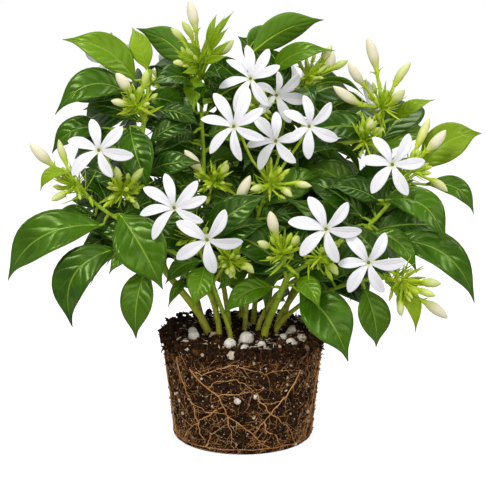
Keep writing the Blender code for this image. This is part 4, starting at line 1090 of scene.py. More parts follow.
def newShaderGroup(name, inputs, outputs):
    tree = bpy.data.node_groups.new(name, "ShaderNodeTree")
    for label, value in inputs.items():
        socket = tree.interface.new_socket(label, in_out="INPUT", socket_type="NodeSocketFloat")
        socket.default_value = value
    for label in outputs:
        tree.interface.new_socket(label, in_out="OUTPUT", socket_type="NodeSocketFloat")
    return tree, tree.nodes.new("NodeGroupInput").outputs, tree.nodes.new("NodeGroupOutput").inputs


def useGroup(tree, group, **values):
    made = tree.nodes.new("ShaderNodeGroup")
    made.node_tree = group
    for key, value in values.items():
        if isinstance(value, bpy.types.NodeSocket):
            tree.links.new(value, made.inputs[key])
        else:
            made.inputs[key].default_value = value
    return made.outputs


def attributeOf(tree, name):
    return put(tree, "ShaderNodeAttribute", attribute_name=name).outputs["Fac"]


def ranged(tree, value, low, high, toLow=0.0, toHigh=1.0, kind="SMOOTHSTEP"):
    return put(tree, "ShaderNodeMapRange", {0: value, 1: low, 2: high, 3: toLow, 4: toHigh},
               interpolation_type=kind).outputs[0]


def mixed(tree, share, first, second, blend="MIX"):
    made = tree.nodes.new("ShaderNodeMix")
    made.data_type = "RGBA"
    made.blend_type = blend
    for index, value in ((0, share), (6, first), (7, second)):
        if isinstance(value, bpy.types.NodeSocket):
            tree.links.new(value, made.inputs[index])
        elif index:
            made.inputs[index].default_value = (*value, 1.0)
        else:
            made.inputs[index].default_value = value
    return made.outputs[2]


def coat(tree, skin, look, colour, height):
    # A finish's colour and relief, with its gloss on the shader's own sockets.
    tree.links.new(colour, skin.inputs["Base Color"])
    skin.inputs["Roughness"].default_value = look["roughness"]
    skin.inputs["Specular IOR Level"].default_value = look["specular"]
    bump = put(tree, "ShaderNodeBump", {"Strength": look["bumpStrength"], "Distance": look["bumpDepth"],
                                        "Height": height})
    tree.links.new(bump.outputs[0], skin.inputs["Normal"])


def cloudOf(tree, scale, low, high):
    return useGroup(tree, mottle, Scale=scale, Low=low, High=high)["Value"]


def makeMottle():
    # A soft spread of lighter and darker, from 0 to 1.
    tree, given, out = newShaderGroup("mottle", dict(Scale=100.0, Low=0.35, High=0.65), ["Value"])
    place = put(tree, "ShaderNodeTexCoord").outputs["Object"]
    cloud = put(tree, "ShaderNodeTexNoise", {"Vector": place, "Scale": given["Scale"], "Detail": 4.0}).outputs[0]
    tree.links.new(ranged(tree, cloud, given["Low"], given["High"]), out["Value"])
    return tree


def makeVeins():
    # The midrib and side veins of a leaf, from its own two coordinates.
    tree, given, out = newShaderGroup("leafVeins", dict(Along=0.0, Across=0.0, Veins=7.0, Slant=1.7),
                                      ["Vein", "Rib", "Height"])
    wide = calc(tree, "ABSOLUTE", given["Across"])
    place = put(tree, "ShaderNodeTexCoord").outputs["Object"]
    drift = put(tree, "ShaderNodeTexNoise", {"Vector": place, "Scale": 75.0, "Detail": 1.0}).outputs[0]
    phase = times(tree, given["Along"], given["Veins"])
    phase = calc(tree, "SUBTRACT", phase, times(tree, calc(tree, "POWER", wide, 1.25), given["Slant"]))
    phase = calc(tree, "MULTIPLY_ADD", drift, 1.1, phase)
    off = calc(tree, "SUBTRACT", calc(tree, "FRACT", phase), 0.5)
    near = times(tree, calc(tree, "ABSOLUTE", off), 2.0)
    inner = ranged(tree, wide, 0.75, 1.0, 1.0, 0.0)
    vein = times(tree, ranged(tree, near, 0.80, 1.0), inner)
    rib = ranged(tree, wide, 0.01, 0.06, 1.0, 0.0)
    puff = calc(tree, "SUBTRACT", 1.0, times(tree, near, near))
    puff = times(tree, times(tree, puff, ranged(tree, wide, 0.02, 0.2)), inner)
    height = calc(tree, "SUBTRACT", puff, times(tree, rib, 0.8))
    for label, value in (("Vein", vein), ("Rib", rib), ("Height", height)):
        tree.links.new(value, out[label])
    return tree


mottle = makeMottle()
leafVeins = makeVeins()

leafFinish = dict(
    deep=(0.012, 0.052, 0.001), mid=(0.058, 0.175, 0.001), young=(0.34, 0.50, 0.004), under=(0.085, 0.20, 0.015),
    veinLight=(0.30, 0.46, 0.05), tint=(0.72, 1.0, 0.34), specular=0.62,
    roughness=0.20, patchy=0.14, youngDull=0.3, underDull=0.25, bumpDepth=0.0007, bumpStrength=0.42,
)


def leafMaterial():
    # tone darkens or lightens a leaf, kind turns it towards young growth, sheet tells its upper face from its lower.
    made, tree, skin = newMaterial("leafGloss")
    along, across, sheet = (attributeOf(tree, name) for name in ("along", "across", "sheet"))
    tone, kind = (attributeOf(tree, name) for name in ("tone", "kind"))
    veins = useGroup(tree, leafVeins, Along=along, Across=across)
    share = calc(tree, "MULTIPLY_ADD", cloudOf(tree, 90.0, 0.3, 0.7), 0.5, times(tree, tone, 0.5))
    colour = mixed(tree, share, leafFinish["deep"], leafFinish["mid"])
    colour = mixed(tree, kind, colour, leafFinish["young"])
    light = calc(tree, "ADD", times(tree, veins["Vein"], 0.08), times(tree, veins["Rib"], 0.62))
    # A lighter rim: partly the leaf's own paler edge, partly painted light shining through it.
    rim = ranged(tree, calc(tree, "ABSOLUTE", across), 0.90, 1.0)
    light = calc(tree, "MAXIMUM", light, times(tree, rim, 0.30))
    colour = mixed(tree, light, colour, leafFinish["veinLight"])
    below = ranged(tree, sheet, -0.05, 0.05, 1.0, 0.0)
    colour = mixed(tree, times(tree, below, 0.75), colour, leafFinish["under"])
    coat(tree, skin, leafFinish, colour, veins["Height"])
    dull = calc(tree, "MULTIPLY_ADD", cloudOf(tree, 160.0, 0.3, 0.7), leafFinish["patchy"], leafFinish["roughness"])
    dull = calc(tree, "MULTIPLY_ADD", kind, leafFinish["youngDull"], dull)
    dull = calc(tree, "MULTIPLY_ADD", below, leafFinish["underDull"], dull)
    tree.links.new(dull, skin.inputs["Roughness"])
    skin.inputs["Specular Tint"].default_value = (*leafFinish["tint"], 1.0)
    return made


# shade is a lilac grey: the petal's own faint tint, and painted shade in its streaks and crease.
petalFinish = dict(
    white=(0.91, 0.90, 0.93), shade=(0.70, 0.69, 0.77), heart=(0.72, 0.75, 0.42), eye=(0.16, 0.17, 0.08),
    tube=(0.62, 0.68, 0.34), roughness=0.55, specular=0.3, bumpDepth=0.0003, bumpStrength=0.4,
)


def petalMaterial():
    # kind 0 is a petal, 0.6 the tube and 1 a dark plug in its mouth, painted shade for the inside of the tube.
    made, tree, skin = newMaterial("petalWhite")
    along, across, kind = (attributeOf(tree, name) for name in ("along", "across", "kind"))
    crease = ranged(tree, calc(tree, "ABSOLUTE", across), 0.0, 0.16, 1.0, 0.0)
    # Streaks towards lilac grey: partly the petal's own faint tint, partly painted shade.
    spot = put(tree, "ShaderNodeCombineXYZ", {0: times(tree, across, 9.0), 1: along, 2: attributeOf(tree, "tone")})
    lines = put(tree, "ShaderNodeTexNoise", {"Vector": spot.outputs[0], "Scale": 1.6, "Detail": 2.0}).outputs[0]
    share = times(tree, ranged(tree, lines, 0.45, 0.75), 0.35)
    colour = mixed(tree, share, petalFinish["white"], petalFinish["shade"])
    # Darker along the middle crease: painted shade in the fold.
    colour = mixed(tree, times(tree, crease, 0.22), colour, petalFinish["shade"])
    colour = mixed(tree, ranged(tree, along, 0.03, 0.13, 0.8, 0.0), colour, petalFinish["heart"])
    colour = mixed(tree, ranged(tree, kind, 0.4, 0.5), colour, petalFinish["tube"])
    # The dark plug in the tube's mouth: painted shade for the inside of the tube.
    colour = mixed(tree, ranged(tree, kind, 0.9, 1.0), colour, petalFinish["eye"])
    coat(tree, skin, petalFinish, colour, calc(tree, "SUBTRACT", times(tree, lines, 0.5), crease))
    return made


shootFinish = dict(
    green=(0.24, 0.43, 0.008), lime=(0.68, 0.78, 0.04), cream=(0.86, 0.80, 0.57), creamBase=(0.66, 0.68, 0.24),
    roughness=0.5, specular=0.3, bumpDepth=0.0002, bumpStrength=0.3,
)


def shootMaterial():
    # kind 0 is green growth, 1 a bud that turns from lime at its foot to cream.
    made, tree, skin = newMaterial("shootGreen")
    along, tone, kind = (attributeOf(tree, name) for name in ("along", "tone", "kind"))
    cloud = cloudOf(tree, 260.0, 0.3, 0.7)
    share = calc(tree, "MULTIPLY_ADD", cloud, 0.4, times(tree, tone, 0.6))
    colour = mixed(tree, share, shootFinish["green"], shootFinish["lime"])
    ripe = mixed(tree, ranged(tree, along, 0.25, 0.6), shootFinish["creamBase"], shootFinish["cream"])
    colour = mixed(tree, times(tree, kind, ranged(tree, along, 0.10, 0.30)), colour, ripe)
    coat(tree, skin, shootFinish, colour, cloud)
    return made


barkFinish = dict(
    foot=(0.56, 0.55, 0.05), top=(0.32, 0.50, 0.02), dark=(0.20, 0.12, 0.03),
    roughness=0.55, specular=0.25, bumpDepth=0.0003, bumpStrength=0.5,
)


def barkMaterial():
    made, tree, skin = newMaterial("stemBark")
    cloud = cloudOf(tree, 300.0, 0.45, 0.7)
    colour = mixed(tree, ranged(tree, attributeOf(tree, "along"), 0.0, 0.5), barkFinish["foot"], barkFinish["top"])
    colour = mixed(tree, times(tree, cloud, 0.55), colour, barkFinish["dark"])
    coat(tree, skin, barkFinish, colour, cloud)
    return made


soilFinish = dict(
    black=(0.005, 0.003, 0.002), brown=(0.034, 0.016, 0.006), rust=(0.15, 0.055, 0.012), fleck=(0.78, 0.66, 0.50),
    roughness=0.85, specular=0.12, bumpDepth=0.0008, bumpStrength=0.9,
)


def soilMaterial():
    # tone 0 to 0.7 is dark mix, then rusty bark, and from 0.93 on a pale fleck.
    made, tree, skin = newMaterial("pottingMix")
    coarse, fine = cloudOf(tree, 330.0, 0.38, 0.62), cloudOf(tree, 900.0, 0.4, 0.6)
    speck, tone = cloudOf(tree, 620.0, 0.68, 0.72), attributeOf(tree, "tone")
    colour = mixed(tree, coarse, soilFinish["black"], soilFinish["brown"])
    for share, name in ((times(tree, fine, 0.22), "rust"), (ranged(tree, tone, 0.72, 0.90), "rust"),
                        (ranged(tree, tone, 0.93, 0.94), "fleck"), (times(tree, speck, 0.8), "fleck")):
        colour = mixed(tree, share, colour, soilFinish[name])
    coat(tree, skin, soilFinish, colour, calc(tree, "ADD", coarse, times(tree, fine, 0.5)))
    return made


rootFinish = dict(
    tan=(0.62, 0.30, 0.085), orange=(0.34, 0.105, 0.016), pale=(0.88, 0.64, 0.36),
    roughness=0.6, specular=0.2, bumpDepth=0.0002, bumpStrength=0.5,
)


def rootMaterial():
    made, tree, skin = newMaterial("rootTan")
    cloud = cloudOf(tree, 350.0, 0.35, 0.65)
    colour = mixed(tree, attributeOf(tree, "tone"), rootFinish["orange"], rootFinish["tan"])
    colour = mixed(tree, times(tree, cloud, 0.28), colour, rootFinish["pale"])
    coat(tree, skin, rootFinish, colour, cloud)
    return made


perliteFinish = dict(
    white=(0.93, 0.88, 0.78), grey=(0.66, 0.58, 0.46), dirt=(0.30, 0.25, 0.19),
    roughness=0.8, specular=0.5, bumpDepth=0.0005, bumpStrength=0.7,
)


def perliteMaterial():
    made, tree, skin = newMaterial("perliteWhite")
    place = put(tree, "ShaderNodeTexCoord").outputs["Object"]
    cloud, speck = cloudOf(tree, 420.0, 0.4, 0.7), cloudOf(tree, 1100.0, 0.60, 0.66)
    cells = put(tree, "ShaderNodeTexVoronoi", {"Vector": place, "Scale": 420.0}, feature="DISTANCE_TO_EDGE")
    crack = ranged(tree, cells.outputs[0], 0.0, 0.035, 1.0, 0.0)
    colour = mixed(tree, times(tree, cloud, 0.6), perliteFinish["white"], perliteFinish["grey"])
    # Darker along the cracks and in small specks.
    colour = mixed(tree, times(tree, crack, 0.3), colour, perliteFinish["dirt"])
    colour = mixed(tree, times(tree, speck, 0.75), colour, perliteFinish["dirt"])
    coat(tree, skin, perliteFinish, colour, calc(tree, "SUBTRACT", cloud, times(tree, crack, 0.4)))
    return made


materials = dict(leaf=leafMaterial(), petal=petalMaterial(), shoot=shootMaterial(), bark=barkMaterial(),
                 soil=soilMaterial(), root=rootMaterial(), perlite=perliteMaterial())
print("finishes made")


# How a leaf looks, by its place in its stem's list: its shade, and how far it bows upwards.
# A light leaf's paler, yellower green is partly its own colour and partly painted sheen.
leafTouches = dict(
    left={0: ("light", 0.10), 1: ("young", 0.0), 2: ("mid", 0.17), 3: ("dark", 0.08), 4: ("dark", 0.02),
          5: ("dark", 0.12), 7: ("deep", 0.0), 8: ("dark", 0.05)},
    left_low={0: ("mid", 0.13), 1: ("dark", 0.20), 2: ("mid", 0.02), 3: ("mid", 0.05), 4: ("mid", 0.05),
              5: ("young", 0.18), 6: ("dark", 0.12)},
    centre_left={0: ("mid", 0.12), 1: ("light", 0.0), 2: ("mid", 0.05), 3: ("dark", 0.0), 4: ("mid", 0.05)},
    centre={0: ("dark", 0.0), 3: ("bright", 0.05)},
    right_front={0: ("mid", 0.12), 1: ("bright", 0.03), 2: ("bright", 0.10)},
    front={0: ("bright", 0.04), 1: ("mid", 0.1), 2: ("bright", 0.1)},
    right={0: ("young", 0.05), 1: ("dark", 0.0), 2: ("dark", 0.12), 3: ("bright", 0.1), 4: ("bright", 0.1)},
    right_out={0: ("young", 0.15), 1: ("mid", 0.18), 2: ("mid", 0.18), 3: ("mid", 0.17), 4: ("mid", 0.1)},
    right_low={0: ("young", 0.12), 1: ("mid", 0.05), 2: ("mid", 0.05)},
    top_right={0: ("light", 0.02), 1: ("mid", 0.0), 2: ("bright", 0.08), 3: ("mid", 0.03), 5: ("mid", 0.05)},
)


# The plant, laid out as its solids are, with the shaded leaves after them.

nearStems, farStems = frontStems(), backStems()
allStems = nearStems + farStems
allSprays, allBlooms = frontBloomsAndSprays(nearStems)
farSprays, farBlooms = backBloomsAndSprays(farStems)
allSprays += farSprays
allBlooms += farBlooms
for stem in allStems:
    stem.block()
for number, bloom in enumerate(allBlooms, 1):
    bloom.place(f"bloom_{number:02d}")
for spray in allSprays:
    spray.place([bloom for bloom in allBlooms if bloom.spray == spray.name])
placeFrontLeaves(nearStems)
placeBackLeaves(farStems)
placeFillLeaves(allStems)
placeScreens(allStems)
placeShoots(allStems)
print("laid out")


# Leaves. Their kind and tone go by their shade, and a pair of numbers there is a range to draw from.

leafLook = dict(
    outline=((0, 0.05), (0.05, 0.22), (0.12, 0.46), (0.21, 0.74), (0.31, 0.93), (0.41, 1.0), (0.52, 0.98), (0.62, 0.86),
             (0.71, 0.66), (0.79, 0.42), (0.87, 0.20), (0.93, 0.10), (1.0, 0.015)),
    rows=21, sides=14, thickness=0.00045, fold=0.24, ripple=0.06, ripples=1.6, youngWidth=0.0125,
    twistMost=0.45, droop=0.09, bow=0.05, sideBow=0.04, leastHalf=0.0001, footHalf=0.0007, seed=3,
    # light is a paler, yellower green: partly a leaf's own colour, partly painted sheen.
    kinds=dict(young=(0.45, 0.75), light=(0.26, 0.36), bright=(0.06, 0.16), plain=(0, 0.08)),
    # deep and dark darken a leaf: deep paints shade on the leaves inside the plant, dark paints shade on those behind
    # the topmost blooms.
    tones=dict(deep=-0.6, dark=0.1, bright=1.2, light=1.4), plainTone=(0.3, 0.9),
    stalk=(0.00095, 0.0008, 0.0007, 0.00062, 0.00055, 0.0005, 0.00042, 0.00035, 0.0003, 0.0002), stalkBelow=0.00035,
    stemSlimness=0.82, stemRows=16, stemSides=7, stemLumps=0.0005,
)


def leafSpine(leaf, rng):
    run = leaf["tip"] - leaf["base"]
    length = run.length
    axis = run.normalized()
    side = axis.cross(leaf["normal"])
    rising = Vector((0, 0, 1)) - axis * axis.z
    rising = rising.normalized() * min(1.0, rising.length * 2)
    lift = leaf.get("bow", leafLook["bow"]) * length
    twist, bow = rng.uniform(-1, 1) * leafLook["twistMost"], rng.uniform(-leafLook["sideBow"], leafLook["sideBow"])
    points, halves, faces = [], [], []
    for share, part in leafLook["outline"]:
        rise = leafShape["arch"] * length * 4 * share * (1 - share) - leafLook["droop"] * length * share**5
        swell = math.sin(math.pi * share**0.9)
        bowed = (side * (bow * length) + rising * lift) * swell
        points.append(leaf["base"] + run * share + leaf["normal"] * rise + bowed)
        halves.append(max(leaf["width"] / 2 * part, leafLook["footHalf"] * (1 - share) + leafLook["leastHalf"]))
        faces.append(Matrix.Rotation(twist * (share - 0.4), 3, axis) @ leaf["normal"])
    return points, halves, faces


def leafShade(leaf, rng):
    # A leaf's tone and kind. Every range is drawn from for every leaf, so that one shade doesn't change the next.
    shade = leaf.get("shade") or ("young" if leaf["width"] < leafLook["youngWidth"] else "")
    drawn = {name: rng.uniform(*most) for name, most in leafLook["kinds"].items()}
    plainTone = rng.uniform(*leafLook["plainTone"])
    kind = 0.0 if shade in ("deep", "dark") else drawn.get(shade, drawn["plain"])
    return leafLook["tones"].get(shade, plainTone), kind


def dressStem(stem, rng):
    blades, bars = [], []
    for points, radii in stem.lines:
        bars.append(strand(points, [radius * leafLook["stemSlimness"] for radius in radii], tone=rng.random()))
    for leaf in stem.pieces:
        points, halves, faces = leafSpine(leaf, rng)
        tone, kind = leafShade(leaf, rng)
        blades.append(strand(points, halves, faces=faces, tone=tone, kind=kind))
        under = [point - face * leafLook["stalkBelow"] for point, face in zip(points, faces)]
        stalk = [leaf["root"], leaf["root"].lerp(leaf["base"], 0.55) + Vector((0, 0, 0.0006)), *under[:8]]
        bars.append(strand(stalk, leafLook["stalk"], tone=rng.random(), ends=(0.6, 1.0)))
    name = capitals(stem.name)
    leaves = swept("leaves" + name, blades, Rows=leafLook["rows"], Sides=leafLook["sides"], Roundness=0.0,
                   Thickness=leafLook["thickness"], Fold=leafLook["fold"], Ripple=leafLook["ripple"],
                   Ripples=leafLook["ripples"], Material=materials["leaf"])
    wood = swept("stem" + name, bars, Rows=leafLook["stemRows"], Sides=leafLook["stemSides"],
                 Lumps=leafLook["stemLumps"], Material=materials["bark"])
    pieceOf("leaves" + name, [leaves], [stem.name])
    pieceOf("stem" + name, [wood], [stem.name])


leafRng = random.Random(leafLook["seed"])
for stem in allStems:
    dressStem(stem, leafRng)
print("stems and leaves made")


# Blooms.

petalLook = dict(
    outline=((0, 0.0012), (0.10, 0.0015), (0.22, 0.0022), (0.36, 0.0030), (0.50, 0.0035), (0.63, 0.0035),
             (0.76, 0.0031), (0.87, 0.0023), (0.95, 0.0014), (1.0, 0.0003)),
    rows=18, sides=12, thickness=0.0004, fold=0.20, rise=0.11, turn=0.22, turnSpread=0.12, bow=0.05, start=0.045,
    length=0.019, fullCount=5.8,  # the outline is for a petal of this length, in a bloom of no more petals than this
    throat=((0.0035, 0.00125), (0.0012, 0.00135), (-0.0001, 0.0019)), tubeFoot=0.00105,  # depth and radius
    eye=((0.0004, 0.0013), (-0.0002, 0.0011), (-0.00055, 0.0005)), throatRows=7, throatSides=12, seed=8,
)


def dressBloom(bloom, rng):
    petals = []
    for tip in bloom.tips:
        out = tip - bloom.centre
        length = out.length
        way = out.normalized()
        side = way.cross(bloom.facing)
        turn = petalLook["turn"] + rng.uniform(-petalLook["turnSpread"], petalLook["turnSpread"])
        face = Matrix.Rotation(turn, 3, way) @ bloom.facing
        lift = rng.uniform(0.8, 1.2) * petalLook["rise"]
        points, halves = [], []
        for share, half in petalLook["outline"]:
            far = petalLook["start"] + (1 - petalLook["start"]) * share
            place = bloom.centre + out * far + bloom.facing * (lift * length * math.sin(math.pi * share**0.8))
            points.append(place + side * (petalLook["bow"] * length * math.sin(math.pi * share)))
            halves.append(half * length / petalLook["length"] * min(1.0, petalLook["fullCount"] / len(bloom.tips)))
        petals.append(strand(points, halves, faces=[face] * len(points), tone=rng.random()))
    throat = [(bloom.base(), petalLook["tubeFoot"])]
    throat += [(bloom.centre - bloom.facing * depth, radius) for depth, radius in petalLook["throat"]]
    # A dark plug in the tube's mouth, painted shade for its inside.
    eye = [(bloom.centre - bloom.facing * depth, radius) for depth, radius in petalLook["eye"]]
    bars = [strand(*zip(*line), kind=kind) for line, kind in ((throat, 0.6), (eye, 1.0))]
    name = bloom.name.replace("bloom_", "bloom")
    whole = swept(name, petals, Rows=petalLook["rows"], Sides=petalLook["sides"], Roundness=0.0,
                  Fold=petalLook["fold"], Thickness=petalLook["thickness"], Material=materials["petal"])
    tube = swept(name + "Throat", bars, Rows=petalLook["throatRows"], Sides=petalLook["throatSides"],
                 Material=materials["petal"])
    pieceOf(name, [whole, tube], [bloom.name])


petalRng = random.Random(petalLook["seed"])
for bloom in allBlooms:
    dressBloom(bloom, petalRng)
print("blooms made")


# Sprays: stalks, buds with calyx lobes, and the small green growth round them.

budLook = dict(
    outline=((0, 0.36), (0.10, 0.42), (0.19, 0.50), (0.28, 0.68), (0.38, 0.90), (0.50, 1.0), (0.64, 0.97), (0.77, 0.82),
             (0.88, 0.56), (0.95, 0.32), (1.0, 0.06)),
    smallOutline=((0, 0.45), (0.12, 0.62), (0.28, 0.90), (0.46, 1.0), (0.64, 0.94), (0.80, 0.68), (0.92, 0.36),
                  (1.0, 0.05)),
    twist=1.2, slimness=0.88, lobes=5, lobeLength=0.0044, lobeHalf=0.00055,
    collarSize=1.1, bigSize=1.15, smallSize=0.9, extraSize=0.75,  # of the calyx, by what it holds
    stalk=(0.0009, 0.0008, 0.0010), extraStalk=(0.0006, 0.00055, 0.0007), sag=0.0008,
    extraBuds=12, extraReach=(0.004, 0.009), extraLength=(0.0045, 0.0075), extraRadius=(0.0009, 0.0015),
    bracts=40, bractLength=(0.007, 0.015), bractSlimness=(0.065, 0.115), bractCurl=0.18, seed=21,
)


def curvedSpike(foot, way, bend, length, half, tone=0.5):
    points = [foot, foot + way * length * 0.5, foot + (way + bend).normalized() * length]
    return strand(points, [half, half * 0.85, half * 0.08], tone=tone)


def calyx(foot, axis, size, rng, spikes):
    across = axis.orthogonal().normalized()
    for number in range(budLook["lobes"]):
        turn = number * math.tau / budLook["lobes"] + rng.uniform(-0.2, 0.2)
        out = Matrix.Rotation(turn, 3, axis) @ across
        way = (out * rng.uniform(0.35, 0.7) + axis).normalized()
        bend = out * rng.uniform(0.1, 0.5)
        length = budLook["lobeLength"] * size * rng.uniform(0.8, 1.25)
        half = budLook["lobeHalf"] * size
        spikes.append(curvedSpike(foot - axis * 0.0006, way, bend, length, half, rng.uniform(0.3, 1.0)))


def budStrand(foot, end, radius, outline, kind, rng):
    bend = (end - foot).orthogonal().normalized() * ((end - foot).length * rng.uniform(-0.05, 0.05))
    points = [foot.lerp(end, share) + bend * math.sin(math.pi * share) for share, _ in outline]
    return strand(points, [radius * part for _, part in outline], tone=rng.uniform(0.4, 1.0), kind=kind,
                  twist=budLook["twist"])


def dressSpray(spray, rng):
    stalks, buds, smallBuds, spikes, bracts = [], [], [], [], []
    for points, radii in spray.stalks:
        stalks.append(strand(points, radii, tone=rng.uniform(0.1, 0.5)))
    for end, facing in spray.collars:
        calyx(end - facing * 0.0008, facing, budLook["collarSize"], rng, spikes)
    for foot, end, radius in spray.budsPlaced:
        middle = spray.heart.lerp(foot, 0.5) - Vector((0, 0, budLook["sag"]))
        line = [spray.heart, middle, foot + (end - foot) * 0.06]
        stalks.append(strand(line, budLook["stalk"], tone=rng.uniform(0.1, 0.6)))
        if radius > smallBud * 1.3:
            buds.append(budStrand(foot, end, radius * budLook["slimness"], budLook["outline"], 1.0, rng))
            size = budLook["bigSize"]
        else:
            smallBuds.append(budStrand(foot, end, radius, budLook["smallOutline"], rng.uniform(0.25, 0.6), rng))
            size = budLook["smallSize"]
        calyx(foot, (end - foot).normalized(), size, rng, spikes)
    aim = (spray.direction + (spray.centre - spray.root).normalized()).normalized()
    for _ in range(budLook["extraBuds"]):
        way = (aim * rng.uniform(0.1, 1.0) + anyWay(rng)).normalized()
        start = spray.heart - spray.direction * rng.uniform(0, 0.003)
        foot = start + way * rng.uniform(*budLook["extraReach"])
        end = foot + (way + aim * 0.3).normalized() * rng.uniform(*budLook["extraLength"])
        line = [start, start.lerp(foot, 0.5), foot]
        stalks.append(strand(line, budLook["extraStalk"], tone=rng.uniform(0.2, 0.7)))
        radius = rng.uniform(*budLook["extraRadius"])
        smallBuds.append(budStrand(foot, end, radius, budLook["smallOutline"], rng.uniform(0, 0.3), rng))
        calyx(foot, way, budLook["extraSize"], rng, spikes)
    for number in range(budLook["bracts"]):
        low = number % 3 == 0
        start = spray.heart - spray.direction * (rng.uniform(0.002, 0.010) if low else rng.uniform(0, 0.002))
        way = (aim * rng.uniform(-0.1, 1.0) + anyWay(rng)).normalized()
        length = rng.uniform(*budLook["bractLength"])
        half = length * rng.uniform(*budLook["bractSlimness"])
        face = (aim - way * aim.dot(way)).normalized()
        curl = length * budLook["bractCurl"]
        points = [start + way * length * share + face * (curl * share * share) for share in (0, 0.25, 0.5, 0.75, 1)]
        halves = [half * 0.4, half * 0.9, half, half * 0.6, 0.0001]
        bracts.append(strand(points, halves, face=face, tone=rng.uniform(0.0, 0.8)))
    shoot = materials["shoot"]
    meshes = [swept("stalks", stalks, Rows=6, Sides=6, Material=shoot),
              swept("smallBuds", smallBuds, Rows=8, Sides=7, Material=shoot),
              swept("spikes", spikes, Rows=5, Sides=5, Roundness=0.6, Material=shoot),
              swept("bracts", bracts, Rows=6, Sides=6, Roundness=0.0, Thickness=0.0003, Fold=0.3, Material=shoot)]
    if buds:
        meshes.append(swept("buds", buds, Rows=18, Sides=12, Material=shoot))
    pieceOf("spray" + capitals(spray.name), meshes, [spray.name])


budRng = random.Random(budLook["seed"])
for spray in allSprays:
    dressSpray(spray, budRng)
print("sprays made")


# The root ball.

soilLook = dict(
    columns=220, topRows=26, sideRows=52, bottomRows=6, topRadius=0.0435, sideTop=0.0577, sideBottom=0.0012,
    baseInset=0.0015, sideDepth=0.0011, topDepth=0.0028, sideScales=(260, 800), topScales=(190, 700),
)


def soilNoise(place, scale):
    return noise.fractal(place * scale, 0.9, 2.2, 4)


def soilOutline():
    # The ball's section from the middle of its top to the middle of its base: radius, height and part.
    look = soilLook
    outline = []
    for row in range(1, look["topRows"]):
        share = row / look["topRows"]
        outline.append((share * look["topRadius"], ballShape["soilTop"] - 0.0012 * share**5, "top"))
    for row in range(look["sideRows"]):
        height = look["sideTop"] - (look["sideTop"] - look["sideBottom"]) * row / (look["sideRows"] - 1)
        outline.append((ballRadius(height), height, "side"))
    for row in range(look["bottomRows"]):
        radius = (ballShape["baseRadius"] - look["baseInset"]) * (1 - row / look["bottomRows"])
        outline.append((radius, 0.0, "bottom"))
    return outline


def makeSoil():
    bm = bmesh.new()
    columns = soilLook["columns"]
    rings = []
    for radius, height, part in soilOutline():
        ring = []
        for column in range(columns):
            turn = column * math.tau / columns
            flat = Vector((math.sin(turn), -math.cos(turn), 0))
            place = flat * radius + Vector((0, 0, height))
            if part == "top":
                coarse, fine = (soilNoise(place, scale) for scale in soilLook["topScales"])
                place.z += soilLook["topDepth"] * (coarse - 0.25) + 0.0006 * fine
            elif part == "side":
                coarse, fine = (soilNoise(place, scale) for scale in soilLook["sideScales"])
                dip = max(0.0, min(1.0, 0.45 - 0.6 * coarse)) * soilLook["sideDepth"] + 0.0004 * fine
                place -= flat * dip * min(1.0, height / 0.004)
            ring.append(bm.verts.new(place))
        rings.append(ring)
    top = bm.verts.new((0, 0, ballShape["soilTop"]))
    bottom = bm.verts.new((0, 0, 0))
    for k in range(columns):
        after = (k + 1) % columns
        bm.faces.new([top, rings[0][k], rings[0][after]])
        bm.faces.new([bottom, rings[-1][after], rings[-1][k]])
        for ring, lower in zip(rings, rings[1:]):
            bm.faces.new([ring[k], lower[k], lower[after], ring[after]])
    bmesh.ops.recalc_face_normals(bm, faces=bm.faces)
    return meshOf("soilBall", bm, "soil", smooth=True)


soilPiece = pieceOf("soilBall", [makeSoil()], ["root_ball"])

crumbLook = dict(
    topCrumbs=dict(Density=170000.0, Smallest=0.0008, Largest=0.0034, Slimness=0.42, Seed=3),
    topFlecks=dict(Density=220000.0, Smallest=0.0002, Largest=0.0007, Slimness=0.3, Seed=5),
    sideCrumbs=dict(Density=150000.0, Smallest=0.0004, Largest=0.0013, Slimness=0.4, Highest=0.0575, Seed=9),
    sideFlecks=dict(Density=52000.0, Smallest=0.00014, Largest=0.00042, Slimness=0.5, Highest=0.0575, Seed=12),
    sideBits=dict(Density=60000.0, Smallest=0.00018, Largest=0.0006, Slimness=0.4, Highest=0.0585, Seed=15),
)
crumbBands = dict(top=dict(Lowest=0.0568, Highest=0.07), side=dict(Lowest=0.0018))
crumbFinish = dict(sideFlecks="perlite", sideBits="root")
for label, values in crumbLook.items():
    band = crumbBands["top" if label.startswith("top") else "side"]
    finish = materials[crumbFinish.get(label, "soil")]
    mesh = treeMesh(label, soilPiece, scatterTree, dict(band, **values, Material=finish))
    pieceOf(label, [mesh], ["root_ball"])

rimLook = dict(
    lumps=110, lumpSize=(0.0011, 0.0030), lumpDrop=0.0020,
    heap=90, heapSize=(0.0010, 0.0024), heapReach=(0.0375, 0.0440),
    spikes=1000, spikeLength=(0.0014, 0.0042), spikeHalf=(0.0002, 0.0006), spikeTones=(0.1, 0.3, 0.4, 0.88, 0.93),
    chips=620, chipLength=(0.0015, 0.0050), chipHalf=(0.0003, 0.0011), chipTones=(0.0, 0.0, 0.2, 0.5, 0.8, 0.98),
    pale=240, paleLength=(0.0010, 0.0038), paleHalf=(0.00014, 0.00034),
    fringe=260, fringeLength=(0.0025, 0.0050), fringeHalf=(0.0004, 0.0010), fringeTones=(0.0, 0.1, 0.3, 0.8), seed=17,
)


